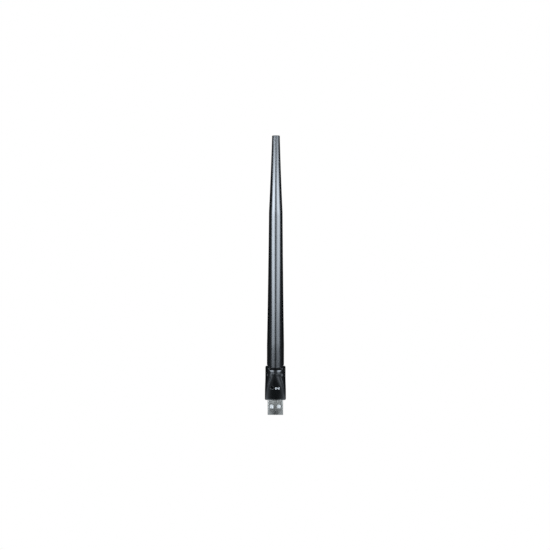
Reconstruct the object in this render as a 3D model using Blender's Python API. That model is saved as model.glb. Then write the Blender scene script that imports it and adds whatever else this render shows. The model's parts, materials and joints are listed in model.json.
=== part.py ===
"""A USB wireless adapter with a long tilting antenna, built as an assembly of separate closed solids.

Units are metres; dimensions are written in millimetres times MM. +Z runs up the antenna and -Y is the
front face with the push button. Heights are given from the housing's bottom face; main() then lifts the
whole adapter by the plug's length, so the finished origin is the centre of the plug's open end.
"""

import math

import bmesh
import bpy
from mathutils import Matrix, Vector

MM = 0.001

# Driving dimensions: plug -------------------------------------------------------------------------------
PLUG_WIDTH = 12.0 * MM
PLUG_THICKNESS = 4.5 * MM
PLUG_REACH = 11.75 * MM
PLUG_WALL = 0.3 * MM
PLUG_INSIDE_Z = 2.2 * MM
WINDOW_SIZE = Vector((2.9, 6.0, 2.9)) * MM
WINDOW_X = 2.85 * MM
WINDOW_Z = -5.2 * MM

# Driving dimensions: housing ----------------------------------------------------------------------------
BASE_HALF_WIDTH = 8.2 * MM
HEAD_HALF_WIDTH = 7.9 * MM
BASE_HALF_DEPTH = 4.7 * MM
FRONT_HALF_DEPTH = 7.83 * MM
REAR_HALF_DEPTH = 7.5 * MM
WAIST_Z = 6.0 * MM
WEDGE_TOP_Z = 20.7 * MM
PIVOT = Vector((0.0, 0.0, 18.5)) * MM
ARCH_RADIUS = 8.1 * MM
BASE_ROUNDNESS = 0.11
HEAD_ROUNDNESS = 0.476
ROUNDNESS_GROWTH = 1.6
RIM_Z = 23.4 * MM
CROWN_ROUND = 1.2 * MM
CROWN_LAST_TURN = 86
CROWN_STEPS = 12
WALL = 1.4 * MM
FLOOR = 1.3 * MM
BASE_ROUND = 1.0 * MM
SEAM_GAP = 0.1 * MM
LIP_INSET = 0.75 * MM
LIP_REACH = 0.6 * MM
BOARD_ROOM_TOP = 13.7 * MM
HINGE_ROOM_FLOOR = 14.6 * MM

# Driving dimensions: hinge ------------------------------------------------------------------------------
EAR_INNER_X = 4.9 * MM
ROOM_HALF_DEPTH = 5.9 * MM
KNUCKLE_HALF_WIDTH = 4.3 * MM
KNUCKLE_RADIUS = 3.6 * MM
TONGUE_HALF_DEPTH = 2.9 * MM
PIN_RADIUS = 1.15 * MM
PIN_CLEARANCE = 0.05 * MM
PIN_INNER_X = 1.3 * MM
PIN_OUTER_X = 6.7 * MM
LINER_GAP = 0.03 * MM
LINER_RADIUS = 6.7 * MM
LINER_HALF_DEPTH = 4.0 * MM
LINER_DROP = 3.6 * MM
COAX_RADIUS = 0.57 * MM
COAX_HOLE_RADIUS = 0.9 * MM

# Driving dimensions: antenna ----------------------------------------------------------------------------
ANTENNA_HALF_WIDTH = 6.67 * MM
ANTENNA_TIP_Z = 206.4 * MM
COLLAR_TOP_Z = 42.6 * MM
KNEE_Z = 146.5 * MM
KNEE_HALF_WIDTH = 5.31 * MM
TIP_HALF_WIDTH = 3.0 * MM
COVER_WALL = 1.3 * MM
TIP_THICKNESS = 3.0 * MM
TIP_ROUND = 0.5 * MM
SADDLE_RADIUS = 8.4 * MM
APRON_Z = 24.8 * MM
APRON_HALF_WIDTH = 4.75 * MM
APRON_BACK_Y = -3.0 * MM
SPIGOT_RADIUS = 5.2 * MM
SPIGOT_TOP_Z = 40.0 * MM
KNEE_FLATNESS = 1.35
TIP_FLATNESS = 1.42

# Driving dimensions: circuit board and what it carries ---------------------------------------------------
BOARD_FRONT_Y = 0.1 * MM
BOARD_THICKNESS = 1.0 * MM
BOARD_HALF_WIDTH = 6.4 * MM
BOARD_BOTTOM_Z = 2.6 * MM
BOARD_TOP_Z = 13.5 * MM
BOARD_BACK_Y = BOARD_FRONT_Y + BOARD_THICKNESS
SOLDER_GAP = 0.05 * MM
BUTTON_X = -2.75 * MM
BUTTON_Z = 9.8 * MM
BUTTON_RADIUS = 1.05 * MM
BUTTON_HOLE_RADIUS = 1.18 * MM
CONTACT_XS = {"vbus": -3.5 * MM, "data_minus": -1.0 * MM, "data_plus": 1.0 * MM, "ground": 3.5 * MM}

ROUND_STEPS = 24
COVER_STEPS = 40
FAR = 20.0 * MM

COLOURS = {
    # name: ((red, green, blue), roughness, metallic)
    "gloss_black": ((0.012, 0.013, 0.014), 0.14, 0.0),
    "satin_black": ((0.020, 0.021, 0.023), 0.38, 0.0),
    "smoked_plastic": ((0.010, 0.010, 0.012), 0.20, 0.0),
    "plug_steel": ((0.58, 0.58, 0.57), 0.28, 1.0),
    "spring_steel": ((0.50, 0.50, 0.50), 0.30, 1.0),
    "gold": ((0.83, 0.62, 0.25), 0.25, 1.0),
    "brass": ((0.72, 0.55, 0.25), 0.30, 1.0),
    "copper": ((0.80, 0.45, 0.28), 0.30, 1.0),
    "white_plastic": ((0.80, 0.80, 0.78), 0.45, 0.0),
    "natural_nylon": ((0.78, 0.76, 0.68), 0.50, 0.0),
    "board_green": ((0.02, 0.16, 0.06), 0.35, 0.0),
    "chip_black": ((0.03, 0.03, 0.03), 0.50, 0.0),
    "ceramic_tan": ((0.55, 0.42, 0.28), 0.45, 0.0),
    "cable_grey": ((0.10, 0.10, 0.11), 0.45, 0.0),
    "foam_grey": ((0.30, 0.30, 0.31), 0.80, 0.0),
}


# Scene and object helpers -------------------------------------------------------------------------------


def clear_scene():
    for obj in list(bpy.data.objects):
        bpy.data.objects.remove(obj)


def material(name):
    found = bpy.data.materials.get(name)
    if found:
        return found
    colour, roughness, metallic = COLOURS[name]
    made = bpy.data.materials.new(name)
    made.use_nodes = True
    shader = made.node_tree.nodes["Principled BSDF"]
    shader.inputs["Base Color"].default_value = (*colour, 1.0)
    shader.inputs["Roughness"].default_value = roughness
    shader.inputs["Metallic"].default_value = metallic
    made.diffuse_color = (*colour, 1.0)
    return made


def place(obj, parent):
    """Hangs obj under parent without moving it in the world."""
    if parent is not None:
        obj.parent = parent
        obj.location -= parent.location
    return obj


def finish(name, bm, colour=None, at=(0.0, 0.0, 0.0), parent=None, turn=None):
    """Turns a bmesh into a named object. With no colour it is a cutter or a guide."""
    bmesh.ops.recalc_face_normals(bm, faces=bm.faces)
    mesh = bpy.data.meshes.new(name)
    bm.to_mesh(mesh)
    bm.free()
    mesh.shade_smooth()
    mesh.set_sharp_from_angle(angle=math.radians(30))
    obj = bpy.data.objects.new(name, mesh)
    bpy.context.scene.collection.objects.link(obj)
    obj.location = Vector(at)
    if turn:
        obj.rotation_euler = turn
    if colour:
        mesh.materials.append(material(colour))
    else:
        obj.hide_render = True
        obj.display_type = "WIRE"
    return place(obj, parent)


def boolean(obj, other, operation):
    modifier = obj.modifiers.new(f"{operation.lower()}_{other.name}", "BOOLEAN")
    modifier.operation = operation
    modifier.object = other
    return obj


def cut(obj, *cutters):
    for cutter in cutters:
        boolean(obj, cutter, "DIFFERENCE")
    return obj


def join(obj, *others):
    for other in others:
        boolean(obj, other, "UNION")
    return obj


def empty(name, at):
    marker = bpy.data.objects.new(name, None)
    bpy.context.scene.collection.objects.link(marker)
    marker.location = Vector(at)
    return marker


# Shape helpers ------------------------------------------------------------------------------------------


def box(name, low, high, colour=None, bevel=0.0, parent=None):
    """A box between two corners, with its origin at its centre."""
    low, high = Vector(low), Vector(high)
    bm = bmesh.new()
    bmesh.ops.create_cube(bm, size=1.0, matrix=Matrix.Diagonal((*(high - low), 1.0)))
    if bevel:
        bmesh.ops.bevel(bm, geom=bm.edges[:], offset=bevel, segments=1, affect="EDGES", profile=0.5)
    return finish(name, bm, colour, (low + high) / 2, parent)


def spin(name, profile, at, axis, colour=None, parent=None, steps=ROUND_STEPS):
    """A turned solid. The profile lists (radius, distance along the axis) from one end to the other."""
    bm = bmesh.new()
    rings = []
    for radius, along in profile:
        ring = []
        for k in range(steps):
            angle = 2 * math.pi * k / steps
            ring.append(bm.verts.new((radius * math.cos(angle), radius * math.sin(angle), along)))
        rings.append(ring)
    skin(bm, rings)
    turn = Vector(axis).to_track_quat("Z", "Y").to_euler()
    return finish(name, bm, colour, at, parent, turn)


def rod(name, radius, start, end, colour=None, parent=None, chamfer=0.0, steps=ROUND_STEPS):
    """A round bar from start to end, with both rims chamfered."""
    start, end = Vector(start), Vector(end)
    length = (end - start).length
    profile = [(radius, 0.0), (radius, length)]
    if chamfer:
        profile = [
            (radius - chamfer, 0.0),
            (radius, chamfer),
            (radius, length - chamfer),
            (radius - chamfer, length),
        ]
    return spin(name, profile, start, end - start, colour, parent, steps)


def skin(bm, rings, closed_ends=True):
    """Faces between successive rings of equal length, and a cap on each end."""
    count = len(rings[0])
    for low, high in zip(rings, rings[1:]):
        for k in range(count):
            after = (k + 1) % count
            bm.faces.new((low[k], low[after], high[after], high[k]))
    if closed_ends:
        bm.faces.new(tuple(reversed(rings[0])))
        bm.faces.new(tuple(rings[-1]))


def loft(name, rings, colour=None, parent=None):
    """A closed solid through rings of world points."""
    bm = bmesh.new()
    skin(bm, [[bm.verts.new(point) for point in ring] for ring in rings])
    return finish(name, bm, colour, parent=parent)


def prism(name, outline, axis, low, high, colour=None, parent=None):
    """An outline drawn in the plane across axis ("X" or "Y"), extruded from low to high along it."""

    def lift(point, along):
        return (along, point[0], point[1]) if axis == "X" else (point[0], along, point[1])

    rings = [[lift(point, along) for point in outline] for along in (low, high)]
    return loft(name, rings, colour, parent)


def arc(centre, radius, start, end, steps):
    """Points on a circle from start to end, in degrees."""
    points = []
    for k in range(steps + 1):
        angle = math.radians(start + (end - start) * k / steps)
        points.append((centre[0] + radius * math.cos(angle), centre[1] + radius * math.sin(angle)))
    return points


def stroke(path, half_width):
    """The outline of a line of even width along path, with mitred corners."""
    right, left = [], []
    for k, point in enumerate(path):
        before = point - path[k - 1] if k else path[1] - point
        after = path[k + 1] - point if k + 1 < len(path) else before
        normal = before.orthogonal().normalized() + after.orthogonal().normalized()
        mitre = 2 * half_width / normal.length_squared
        right.append(point - mitre * normal)
        left.append(point + mitre * normal)
    return right + left[::-1]


def rounded_rectangle(half_width, half_depth, corner, steps=4):
    """An outline around the origin with round corners, anticlockwise."""
    points = []
    for quarter, (sx, sy) in enumerate(((1, 1), (-1, 1), (-1, -1), (1, -1))):
        centre = (sx * (half_width - corner), sy * (half_depth - corner))
        points += arc(centre, corner, 90 * quarter, 90 * quarter + 90, steps)
    return points


def cable(name, points, radius, colour, parent=None, bevel_resolution=2, smooth=4):
    """A round cable or wire along a smooth curve through points."""
    curve = bpy.data.curves.new(name, "CURVE")
    curve.dimensions = "3D"
    curve.bevel_depth = radius
    curve.bevel_resolution = bevel_resolution
    curve.use_fill_caps = True
    path = smooth_path(points, smooth) if smooth else points
    spline = curve.splines.new("POLY")
    spline.points.add(len(path) - 1)
    for target, point in zip(spline.points, path):
        target.co = (*point, 1.0)
    curve.materials.append(material(colour))
    obj = bpy.data.objects.new(name, curve)
    bpy.context.scene.collection.objects.link(obj)
    return place(obj, parent)


def smooth_path(points, steps):
    """Catmull-Rom points through a list of points."""
    points = [Vector(p) for p in points]
    padded = [2 * points[0] - points[1], *points, 2 * points[-1] - points[-2]]
    path = [points[0]]
    for p0, p1, p2, p3 in zip(padded, padded[1:], padded[2:], padded[3:]):
        for k in range(1, steps + 1):
            t = k / steps
            bend = (2 * p0 - 5 * p1 + 4 * p2 - p3) * t**2 + (3 * p1 - p0 - 3 * p2 + p3) * t**3
            path.append(0.5 * (2 * p1 + (p2 - p0) * t + bend))
    return path


def mix(a, b, share):
    return a + (b - a) * share


def clamp(value, low=0.0, high=1.0):
    return min(max(value, low), high)


def ease(share):
    share = clamp(share)
    return share * share * (3 - 2 * share)


def superellipse(half_x, half_y, power, angle):
    """The point of a superellipse that lies in the direction of angle."""
    c, s = math.cos(angle), math.sin(angle)
    reach = (abs(c / half_x) ** power + abs(s / half_y) ** power) ** (-1 / power)
    return reach * c, reach * s


# Housing ------------------------------------------------------------------------------------------------


def housing_half_width(z):
    wide = mix(BASE_HALF_WIDTH, HEAD_HALF_WIDTH, ease((z - WAIST_Z) / (PIVOT.z - WAIST_Z)))
    rise = max(z - PIVOT.z - ARCH_RADIUS + CROWN_ROUND, 0.0)
    return wide - CROWN_ROUND + math.sqrt(CROWN_ROUND**2 - rise**2)


def housing_depth(z, side):
    """Distance from the seam to the front face (side -1, a straight wedge) or the back (side +1, thin as
    far as the neck). Both run into the round hinge head, which ends under the antenna's saddle."""
    offset = z - PIVOT.z
    arch = math.sqrt(max(ARCH_RADIUS**2 - offset**2, 0.0))
    if side < 0:
        wedge = mix(BASE_HALF_DEPTH, FRONT_HALF_DEPTH, clamp(z / WEDGE_TOP_Z))
        return min(wedge, arch) if offset > 0 else wedge
    return min(arch, REAR_HALF_DEPTH) if offset > 0 else clamp(arch, BASE_HALF_DEPTH, REAR_HALF_DEPTH)


def housing_power(z):
    """The power of the superellipse section: nearly a rectangle at the base, nearly an ellipse at the
    head."""
    share = clamp(z / PIVOT.z) ** ROUNDNESS_GROWTH
    return 1 / mix(BASE_ROUNDNESS, HEAD_ROUNDNESS, share)


def housing_point(z, angle, inset=0.0):
    """A point on the housing's outside, or that far inside it."""
    side = -1 if math.sin(angle) < 0 else 1
    half_x, half_y = housing_half_width(z) - inset, housing_depth(z, side) - inset
    x, y = superellipse(half_x, half_y, housing_power(z), angle)
    return Vector((x, y, z))


def base_round_inset(z):
    """How far the rounded bottom edge pulls the outside in at height z."""
    rise = max(BASE_ROUND - z, 0.0)
    return BASE_ROUND - math.sqrt(BASE_ROUND**2 - rise**2)


def half_ring(z, side, steps=40):
    """One half of the housing's outline at height z, closed along the seam."""
    start = math.pi if side < 0 else 0.0
    ring = []
    for k in range(steps + 1):
        point = housing_point(z, start + math.pi * k / steps, base_round_inset(z))
        point.y = side * max(abs(point.y), SEAM_GAP / 2)
        ring.append(point)
    return ring


def full_ring(z, inset, steps=40, low_y=-FAR, high_y=FAR):
    ring = []
    for k in range(steps):
        point = housing_point(z, 2 * math.pi * (k + 0.5) / steps, inset)
        point.y = clamp(point.y, low_y, high_y)
        ring.append(point)
    return ring


def half_housing(name, side):
    """The solid outside of the front or the rear shell, before its hollows."""
    round_heights = [BASE_ROUND * share for share in (0.0, 0.08, 0.3, 0.65, 1.0)]
    heights = round_heights + [h * MM for h in (3.5, 6.0, 9.0, 11.9)]
    heights += [h * MM for h in (12.5, 13.2, 14.0, 15.0, 16.5, 18.5, 19.6)]
    first_turn = math.asin((WEDGE_TOP_Z - PIVOT.z) / ARCH_RADIUS)
    for k in range(CROWN_STEPS + 1):
        turn = mix(first_turn, math.radians(CROWN_LAST_TURN), k / CROWN_STEPS)
        heights.append(PIVOT.z + ARCH_RADIUS * math.sin(turn))
    return loft(name, [half_ring(z, side) for z in heights], "gloss_black")


def board_room():
    heights = [FLOOR] + [h * MM for h in (3.0, 6.0, 9.0, 11.0)] + [BOARD_ROOM_TOP]
    return loft("cutter_board_room", [full_ring(z, WALL) for z in heights])


def hinge_room():
    """The space between the ears, open at the top and the back so that the antenna can fold down."""
    rings = []
    for z in (HINGE_ROOM_FLOOR, 16.5 * MM, PIVOT.z, PIVOT.z + FAR):
        level = min(z, PIVOT.z)
        half_x = housing_half_width(level) - WALL
        half_y = min(housing_depth(level, -1) - WALL, ROOM_HALF_DEPTH)
        power = housing_power(level)
        ring = [(EAR_INNER_X, FAR, z), (-EAR_INNER_X, FAR, z)]
        for k in range(-6, 7):
            x = EAR_INNER_X * k / 6
            ring.append((x, -half_y * (1 - abs(x / half_x) ** power) ** (1 / power), z))
        rings.append(ring)
    return loft("cutter_hinge_room", rings)


def rim_notch():
    """Takes the front wall between the ears down to a straight, level rim."""
    low = (-EAR_INNER_X, -FAR, RIM_Z)
    return box("cutter_rim_notch", low, (EAR_INNER_X, 0.0, PIVOT.z + FAR))


def lip_slab(name, extra):
    """The tongue along the seam inside the side walls. extra widens it into the groove that takes it."""
    low_y, high_y = -WALL, LIP_REACH + extra
    heights = [FLOOR - extra, WAIST_Z, 9.0 * MM, 13.3 * MM + extra]
    return loft(name, [full_ring(z, LIP_INSET - extra, low_y=low_y, high_y=high_y) for z in heights])


def shell_cutters():
    half_opening = (PLUG_WIDTH / 2 + 0.15 * MM, PLUG_THICKNESS / 2 + 0.15 * MM)
    opening = rounded_rectangle(*half_opening, 0.75 * MM)
    plug_opening = loft(
        "cutter_plug_opening", [[(x, y, z) for x, y in opening] for z in (-1 * MM, PLUG_INSIDE_Z)]
    )
    bore = PIN_RADIUS + 2 * PIN_CLEARANCE
    left = Vector((-PIN_OUTER_X - 0.1 * MM, PIVOT.y, PIVOT.z))
    right = Vector((PIN_OUTER_X + 0.1 * MM, PIVOT.y, PIVOT.z))
    pin_bores = rod("cutter_pin_bores", bore, left, right)
    cable_low = Vector((0, 0, BOARD_ROOM_TOP - MM))
    cable_high = Vector((0, 0, HINGE_ROOM_FLOOR + MM))
    cable_hole = rod("cutter_cable_hole", COAX_HOLE_RADIUS, cable_low, cable_high)
    return [board_room(), hinge_room(), rim_notch(), plug_opening, pin_bores, cable_hole]


def front_shell(cutters):
    shell = half_housing("front_shell", -1)
    join(shell, lip_slab("guide_lip", 0.0))
    cut(shell, *cutters)
    hole_start = Vector((BUTTON_X, -FAR, BUTTON_Z))
    hole_end = Vector((BUTTON_X, -3.0 * MM, BUTTON_Z))
    cut(shell, rod("cutter_button_hole", BUTTON_HOLE_RADIUS, hole_start, hole_end))
    for side in (-1, 1):
        rib = board_rib(f"guide_front_rib_{side}", side, -3.4 * MM, BOARD_FRONT_Y - 0.1 * MM)
        join(shell, rib)


def rear_shell(cutters):
    shell = half_housing("rear_shell", 1)
    cut(shell, *cutters)
    cut(shell, lip_slab("cutter_lip_groove", 0.1 * MM))
    for side in (-1, 1):
        rib = board_rib(f"guide_rear_rib_{side}", side, BOARD_BACK_Y + 0.1 * MM, 3.2 * MM)
        join(shell, rib)


def board_rib(name, side, low_y, high_y):
    """A ledge from the side wall that holds one edge of the board."""
    reach = sorted((side * 5.6 * MM, side * 7.5 * MM))
    return box(name, (reach[0], low_y, 6.2 * MM), (reach[1], high_y, 8.0 * MM))


def button_cap(parent):
    """A recessed round key with a retaining flange and a stem that reaches the switch."""
    face = -5.84 * MM
    profile = [
        (0.55 * BUTTON_RADIUS, face - 0.06 * MM),
        (0.88 * BUTTON_RADIUS, face),
        (BUTTON_RADIUS, face + 0.15 * MM),
        (BUTTON_RADIUS, -4.2 * MM),
        (1.6 * MM, -4.2 * MM),
        (1.6 * MM, -3.8 * MM),
        (0.7 * MM, -3.8 * MM),
        (0.7 * MM, -2.55 * MM),
    ]
    at = (BUTTON_X, 0, BUTTON_Z)
    spin("button_cap", profile, at, (0, 1, 0), "smoked_plastic", parent)


# USB plug -----------------------------------------------------------------------------------------------


def usb_shell():
    """A rolled steel sleeve with four windows, a dovetailed seam down the front, and two solder legs."""
    outer = rounded_rectangle(PLUG_WIDTH / 2, PLUG_THICKNESS / 2, 0.6 * MM)
    inner = rounded_rectangle(PLUG_WIDTH / 2 - PLUG_WALL, PLUG_THICKNESS / 2 - PLUG_WALL, 0.3 * MM)
    lead = 0.1 * MM
    tip = rounded_rectangle(PLUG_WIDTH / 2 - lead, PLUG_THICKNESS / 2 - lead, 0.5 * MM)
    path = [
        (inner, PLUG_INSIDE_Z),
        (outer, PLUG_INSIDE_Z),
        (outer, lead - PLUG_REACH),
        (tip, -PLUG_REACH),
        (inner, -PLUG_REACH),
    ]
    bm = bmesh.new()
    rings = [[bm.verts.new((x, y, z)) for x, y in outline] for outline, z in path]
    skin(bm, rings + [rings[0]], closed_ends=False)
    shell = finish("usb_shell", bm, "plug_steel")
    for side in (-1, 1):
        centre = Vector((side * WINDOW_X, 0, WINDOW_Z))
        low, high = centre - WINDOW_SIZE / 2, centre + WINDOW_SIZE / 2
        cut(shell, box(f"cutter_window_{side}", low, high))
        reach = sorted((side * 5.7 * MM, side * 6.0 * MM))
        leg_low = (reach[0], -1.0 * MM, PLUG_INSIDE_Z - 0.3 * MM)
        leg_high = (reach[1], 1.9 * MM, 4.6 * MM)
        join(shell, box(f"guide_leg_{side}", leg_low, leg_high))
    cut(shell, seam_cutter())


def seam_cutter():
    """A thin zigzag through the front wall where the rolled edges of the sleeve meet."""
    half_gap = 0.04 * MM
    middle = [(0, -13.0), (0, -9.8), (0.55, -10.1), (0.55, -8.6), (0, -8.9)]
    middle += [(0, -4.1), (-0.55, -4.4), (-0.55, -2.6), (0, -2.9), (0, 3.0)]
    outline = stroke([Vector(point) * MM for point in middle], half_gap)
    wall_middle = -PLUG_THICKNESS / 2 + PLUG_WALL / 2
    return prism("cutter_seam", outline, "Y", wall_middle - PLUG_WALL, wall_middle + PLUG_WALL)


def usb_insulator():
    """A block that fills the back of the sleeve, with the contact tongue in front of it."""
    clear = PLUG_WALL + SOLDER_GAP
    half_x, half_y = PLUG_WIDTH / 2 - clear, PLUG_THICKNESS / 2 - clear
    block_low, block_high = (-half_x, -half_y, -2.5 * MM), (half_x, half_y, 2.0 * MM)
    block = box("usb_insulator", block_low, block_high, "white_plastic", 0.15 * MM)
    tongue_low = (-5.5 * MM, -half_y, -11.3 * MM)
    tongue_high = (5.5 * MM, -0.2 * MM, -2.0 * MM)
    join(block, box("guide_tongue", tongue_low, tongue_high, bevel=0.15 * MM))
    for name, x in CONTACT_XS.items():
        low = (x - 0.55 * MM, -0.2 * MM, -2.7 * MM)
        high = (x + 0.55 * MM, 0.1 * MM, 2.5 * MM)
        cut(block, box(f"cutter_slot_{name}", low, high))


def usb_contacts():
    """Flat strips on the tongue. The power pair reaches further forward, and each has a narrow tail."""
    for name, x in CONTACT_XS.items():
        front = -10.9 * MM if name in ("vbus", "ground") else -9.9 * MM
        wide, narrow = 0.5 * MM, 0.3 * MM
        outline = [
            (x - 0.6 * wide, front),
            (x + 0.6 * wide, front),
            (x + wide, front + 0.3 * MM),
            (x + wide, 2.2 * MM),
            (x + narrow, 2.5 * MM),
            (x + narrow, 4.4 * MM),
            (x - narrow, 4.4 * MM),
            (x - narrow, 2.5 * MM),
            (x - wide, 2.2 * MM),
            (x - wide, front + 0.3 * MM),
        ]
        prism(f"usb_contact_{name}", outline, "Y", -0.15 * MM, BOARD_FRONT_Y - SOLDER_GAP, "gold")


# Circuit board and its components -----------------------------------------------------------------------


def circuit_board():
    """The board, narrowed beside the plug's legs and notched at the top for the antenna cable."""
    neck, shoulder_z, notch, notch_z = 5.55 * MM, 4.75 * MM, 1.0 * MM, 12.5 * MM
    right = [
        (neck, BOARD_BOTTOM_Z),
        (neck, shoulder_z),
        (BOARD_HALF_WIDTH, shoulder_z),
        (BOARD_HALF_WIDTH, BOARD_TOP_Z - 0.5 * MM),
        (BOARD_HALF_WIDTH - 0.5 * MM, BOARD_TOP_Z),
        (notch, BOARD_TOP_Z),
        (notch, notch_z),
    ]
    left = [(-x, z) for x, z in reversed(right)]
    prism("circuit_board", right + left, "Y", BOARD_FRONT_Y, BOARD_BACK_Y, "board_green")


def on_board(name, side, x, z, width, height, thickness, colour, bevel=0.05 * MM):
    """A box soldered to the front (side -1) or the back (side +1) of the board, centred at x, z."""
    face = BOARD_FRONT_Y - SOLDER_GAP if side < 0 else BOARD_BACK_Y + SOLDER_GAP
    low_y, high_y = sorted((face, face + side * thickness))
    low = (x - width / 2, low_y, z - height / 2)
    high = (x + width / 2, high_y, z + height / 2)
    return box(name, low, high, colour, bevel)


def board_components():
    on_board("wifi_chip", 1, -1.4 * MM, 7.6 * MM, 5.0 * MM, 5.0 * MM, 0.85 * MM, "chip_black")
    on_board("amplifier_chip", 1, 2.9 * MM, 10.2 * MM, 2.5 * MM, 2.5 * MM, 0.75 * MM, "chip_black")
    on_board("crystal", 1, 3.0 * MM, 6.4 * MM, 2.0 * MM, 2.5 * MM, 0.6 * MM, "plug_steel")
    on_board("inductor", -1, 2.2 * MM, 6.6 * MM, 2.0 * MM, 1.6 * MM, 0.9 * MM, "chip_black", 0.12 * MM)
    on_board("status_led", -1, -0.3 * MM, 9.0 * MM, 0.8 * MM, 1.6 * MM, 0.6 * MM, "white_plastic")
    capacitors = [(4.6, 5.9), (4.6, 7.1), (1.0, 8.9), (2.3, 8.9), (-5.5, 12.2), (1.4, 11.0)]
    size = (1.0 * MM, 0.5 * MM, 0.5 * MM)
    for number, (x, z) in enumerate(capacitors, 1):
        on_board(f"capacitor_{number}", -1, x * MM, z * MM, *size, "ceramic_tan", 0.04 * MM)


def shield_can():
    """A folded steel lid over the chips on the back of the board, open towards the board."""
    low_x, high_x, low_z, high_z = -4.6 * MM, 4.6 * MM, 4.9 * MM, 12.2 * MM
    back, depth, sheet = BOARD_BACK_Y + SOLDER_GAP, 1.5 * MM, 0.2 * MM
    can = box("shield_can", (low_x, back, low_z), (high_x, back + depth, high_z), "plug_steel", 0.12 * MM)
    hollow_low = (low_x + sheet, back - MM, low_z + sheet)
    hollow_high = (high_x - sheet, back + depth - sheet, high_z - sheet)
    cut(can, box("cutter_can_hollow", hollow_low, hollow_high))


def tact_switch(plunger_parent):
    """A push switch under the button: moulded base, snap dome, sheet cover and moving plunger."""
    at = Vector((BUTTON_X, 0, BUTTON_Z))
    half = 1.6 * MM
    foot = BOARD_FRONT_Y - SOLDER_GAP
    base_low = (at.x - half, -1.2 * MM, at.z - half)
    base = box("switch_base", base_low, (at.x + half, foot, at.z + half), "chip_black", 0.1 * MM)
    well_start, well_end = at + Vector((0, -2.0 * MM, 0)), at + Vector((0, -0.4 * MM, 0))
    cut(base, rod("cutter_switch_well", 1.25 * MM, well_start, well_end))

    dome = [(1.15, -0.45), (1.0, -0.50), (0.6, -0.60), (0.2, -0.64), (0.2, -0.56), (0.6, -0.52)]
    dome += [(1.0, -0.43), (1.15, -0.42)]
    open_dome("switch_dome", [(r * MM, y * MM) for r, y in dome], at)

    cover_low = (at.x - half, -1.4 * MM, at.z - half)
    cover_high = (at.x + half, -1.25 * MM, at.z + half)
    cover = box("switch_cover", cover_low, cover_high, "spring_steel")
    cut(cover, rod("cutter_switch_cover", 0.9 * MM, well_start, well_end))

    plunger = [(1.1, -0.98), (1.1, -1.18), (0.78, -1.18), (0.78, -2.3), (0.65, -2.42)]
    profile = [(r * MM, y * MM) for r, y in reversed(plunger)]
    spin("switch_plunger", profile, at, (0, 1, 0), "white_plastic", plunger_parent)


def open_dome(name, profile, at):
    """A turned sheet whose profile is a closed loop of (radius, y)."""
    bm = bmesh.new()
    rings = []
    for radius, y in profile:
        ring = []
        for k in range(ROUND_STEPS):
            angle = 2 * math.pi * k / ROUND_STEPS
            ring.append(bm.verts.new((radius * math.cos(angle), y, radius * math.sin(angle))))
        rings.append(ring)
    skin(bm, rings + [rings[0]], closed_ends=False)
    return finish(name, bm, "spring_steel", at)


def coax_connector():
    """A press-on coaxial connector: a socket soldered to the board and the cap on the cable's end."""
    at = Vector((4.0, 0, 11.2)) * MM
    foot = BOARD_FRONT_Y - SOLDER_GAP
    half = 1.3 * MM
    socket_low = (at.x - half, foot - 0.35 * MM, at.z - half)
    socket = box("coax_socket", socket_low, (at.x + half, foot, at.z + half), "gold", 0.06 * MM)
    barrel_end = at + Vector((0, foot - 1.0 * MM, 0))
    barrel_start = at + Vector((0, foot - 0.2 * MM, 0))
    join(socket, rod("guide_socket_barrel", 0.8 * MM, barrel_start, barrel_end))
    profile = [(0.9, -0.40), (1.2, -0.40), (1.2, -1.30), (1.05, -1.42)]
    profile += [(0.3, -1.42), (0.3, -1.10), (0.9, -1.10)]
    return open_dome("coax_plug", [(r * MM, y * MM) for r, y in profile], at)


# Hinge --------------------------------------------------------------------------------------------------


def hinge_hardware(parent):
    """Two stub pins pressed into the knuckle, and a friction liner on each side of it."""
    for name, side in (("left", -1), ("right", 1)):
        start = Vector((side * PIN_INNER_X, PIVOT.y, PIVOT.z))
        end = Vector((side * PIN_OUTER_X, PIVOT.y, PIVOT.z))
        rod(f"hinge_pin_{name}", PIN_RADIUS, start, end, "spring_steel", parent, chamfer=0.15 * MM)
        friction_liner(f"friction_liner_{name}", side)


def friction_liner(name, side):
    """A nylon plate between knuckle and ear: round at the top, flat at both sides and where it stands on
    the floor."""
    middle = side * (KNUCKLE_HALF_WIDTH + EAR_INNER_X) / 2
    half_thickness = (EAR_INNER_X - KNUCKLE_HALF_WIDTH) / 2 - LINER_GAP
    angles = [2 * math.pi * k / ROUND_STEPS for k in range(ROUND_STEPS)]
    hole = [(PIN_RADIUS + 0.2 * MM) * Vector((math.cos(a), math.sin(a))) for a in angles]
    edge = []
    for a in angles:
        flats = (LINER_DROP / max(-math.sin(a), 0.01), LINER_HALF_DEPTH / max(abs(math.cos(a)), 0.01))
        reach = min(LINER_RADIUS, *flats)
        edge.append(reach * Vector((math.cos(a), math.sin(a))))
    bm = bmesh.new()
    rings = []
    for outline, face in ((hole, -1), (edge, -1), (edge, 1), (hole, 1)):
        rings.append([bm.verts.new((face * half_thickness, y, z)) for y, z in outline])
    skin(bm, rings + [rings[0]], closed_ends=False)
    return finish(name, bm, "natural_nylon", (middle, PIVOT.y, PIVOT.z))


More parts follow.
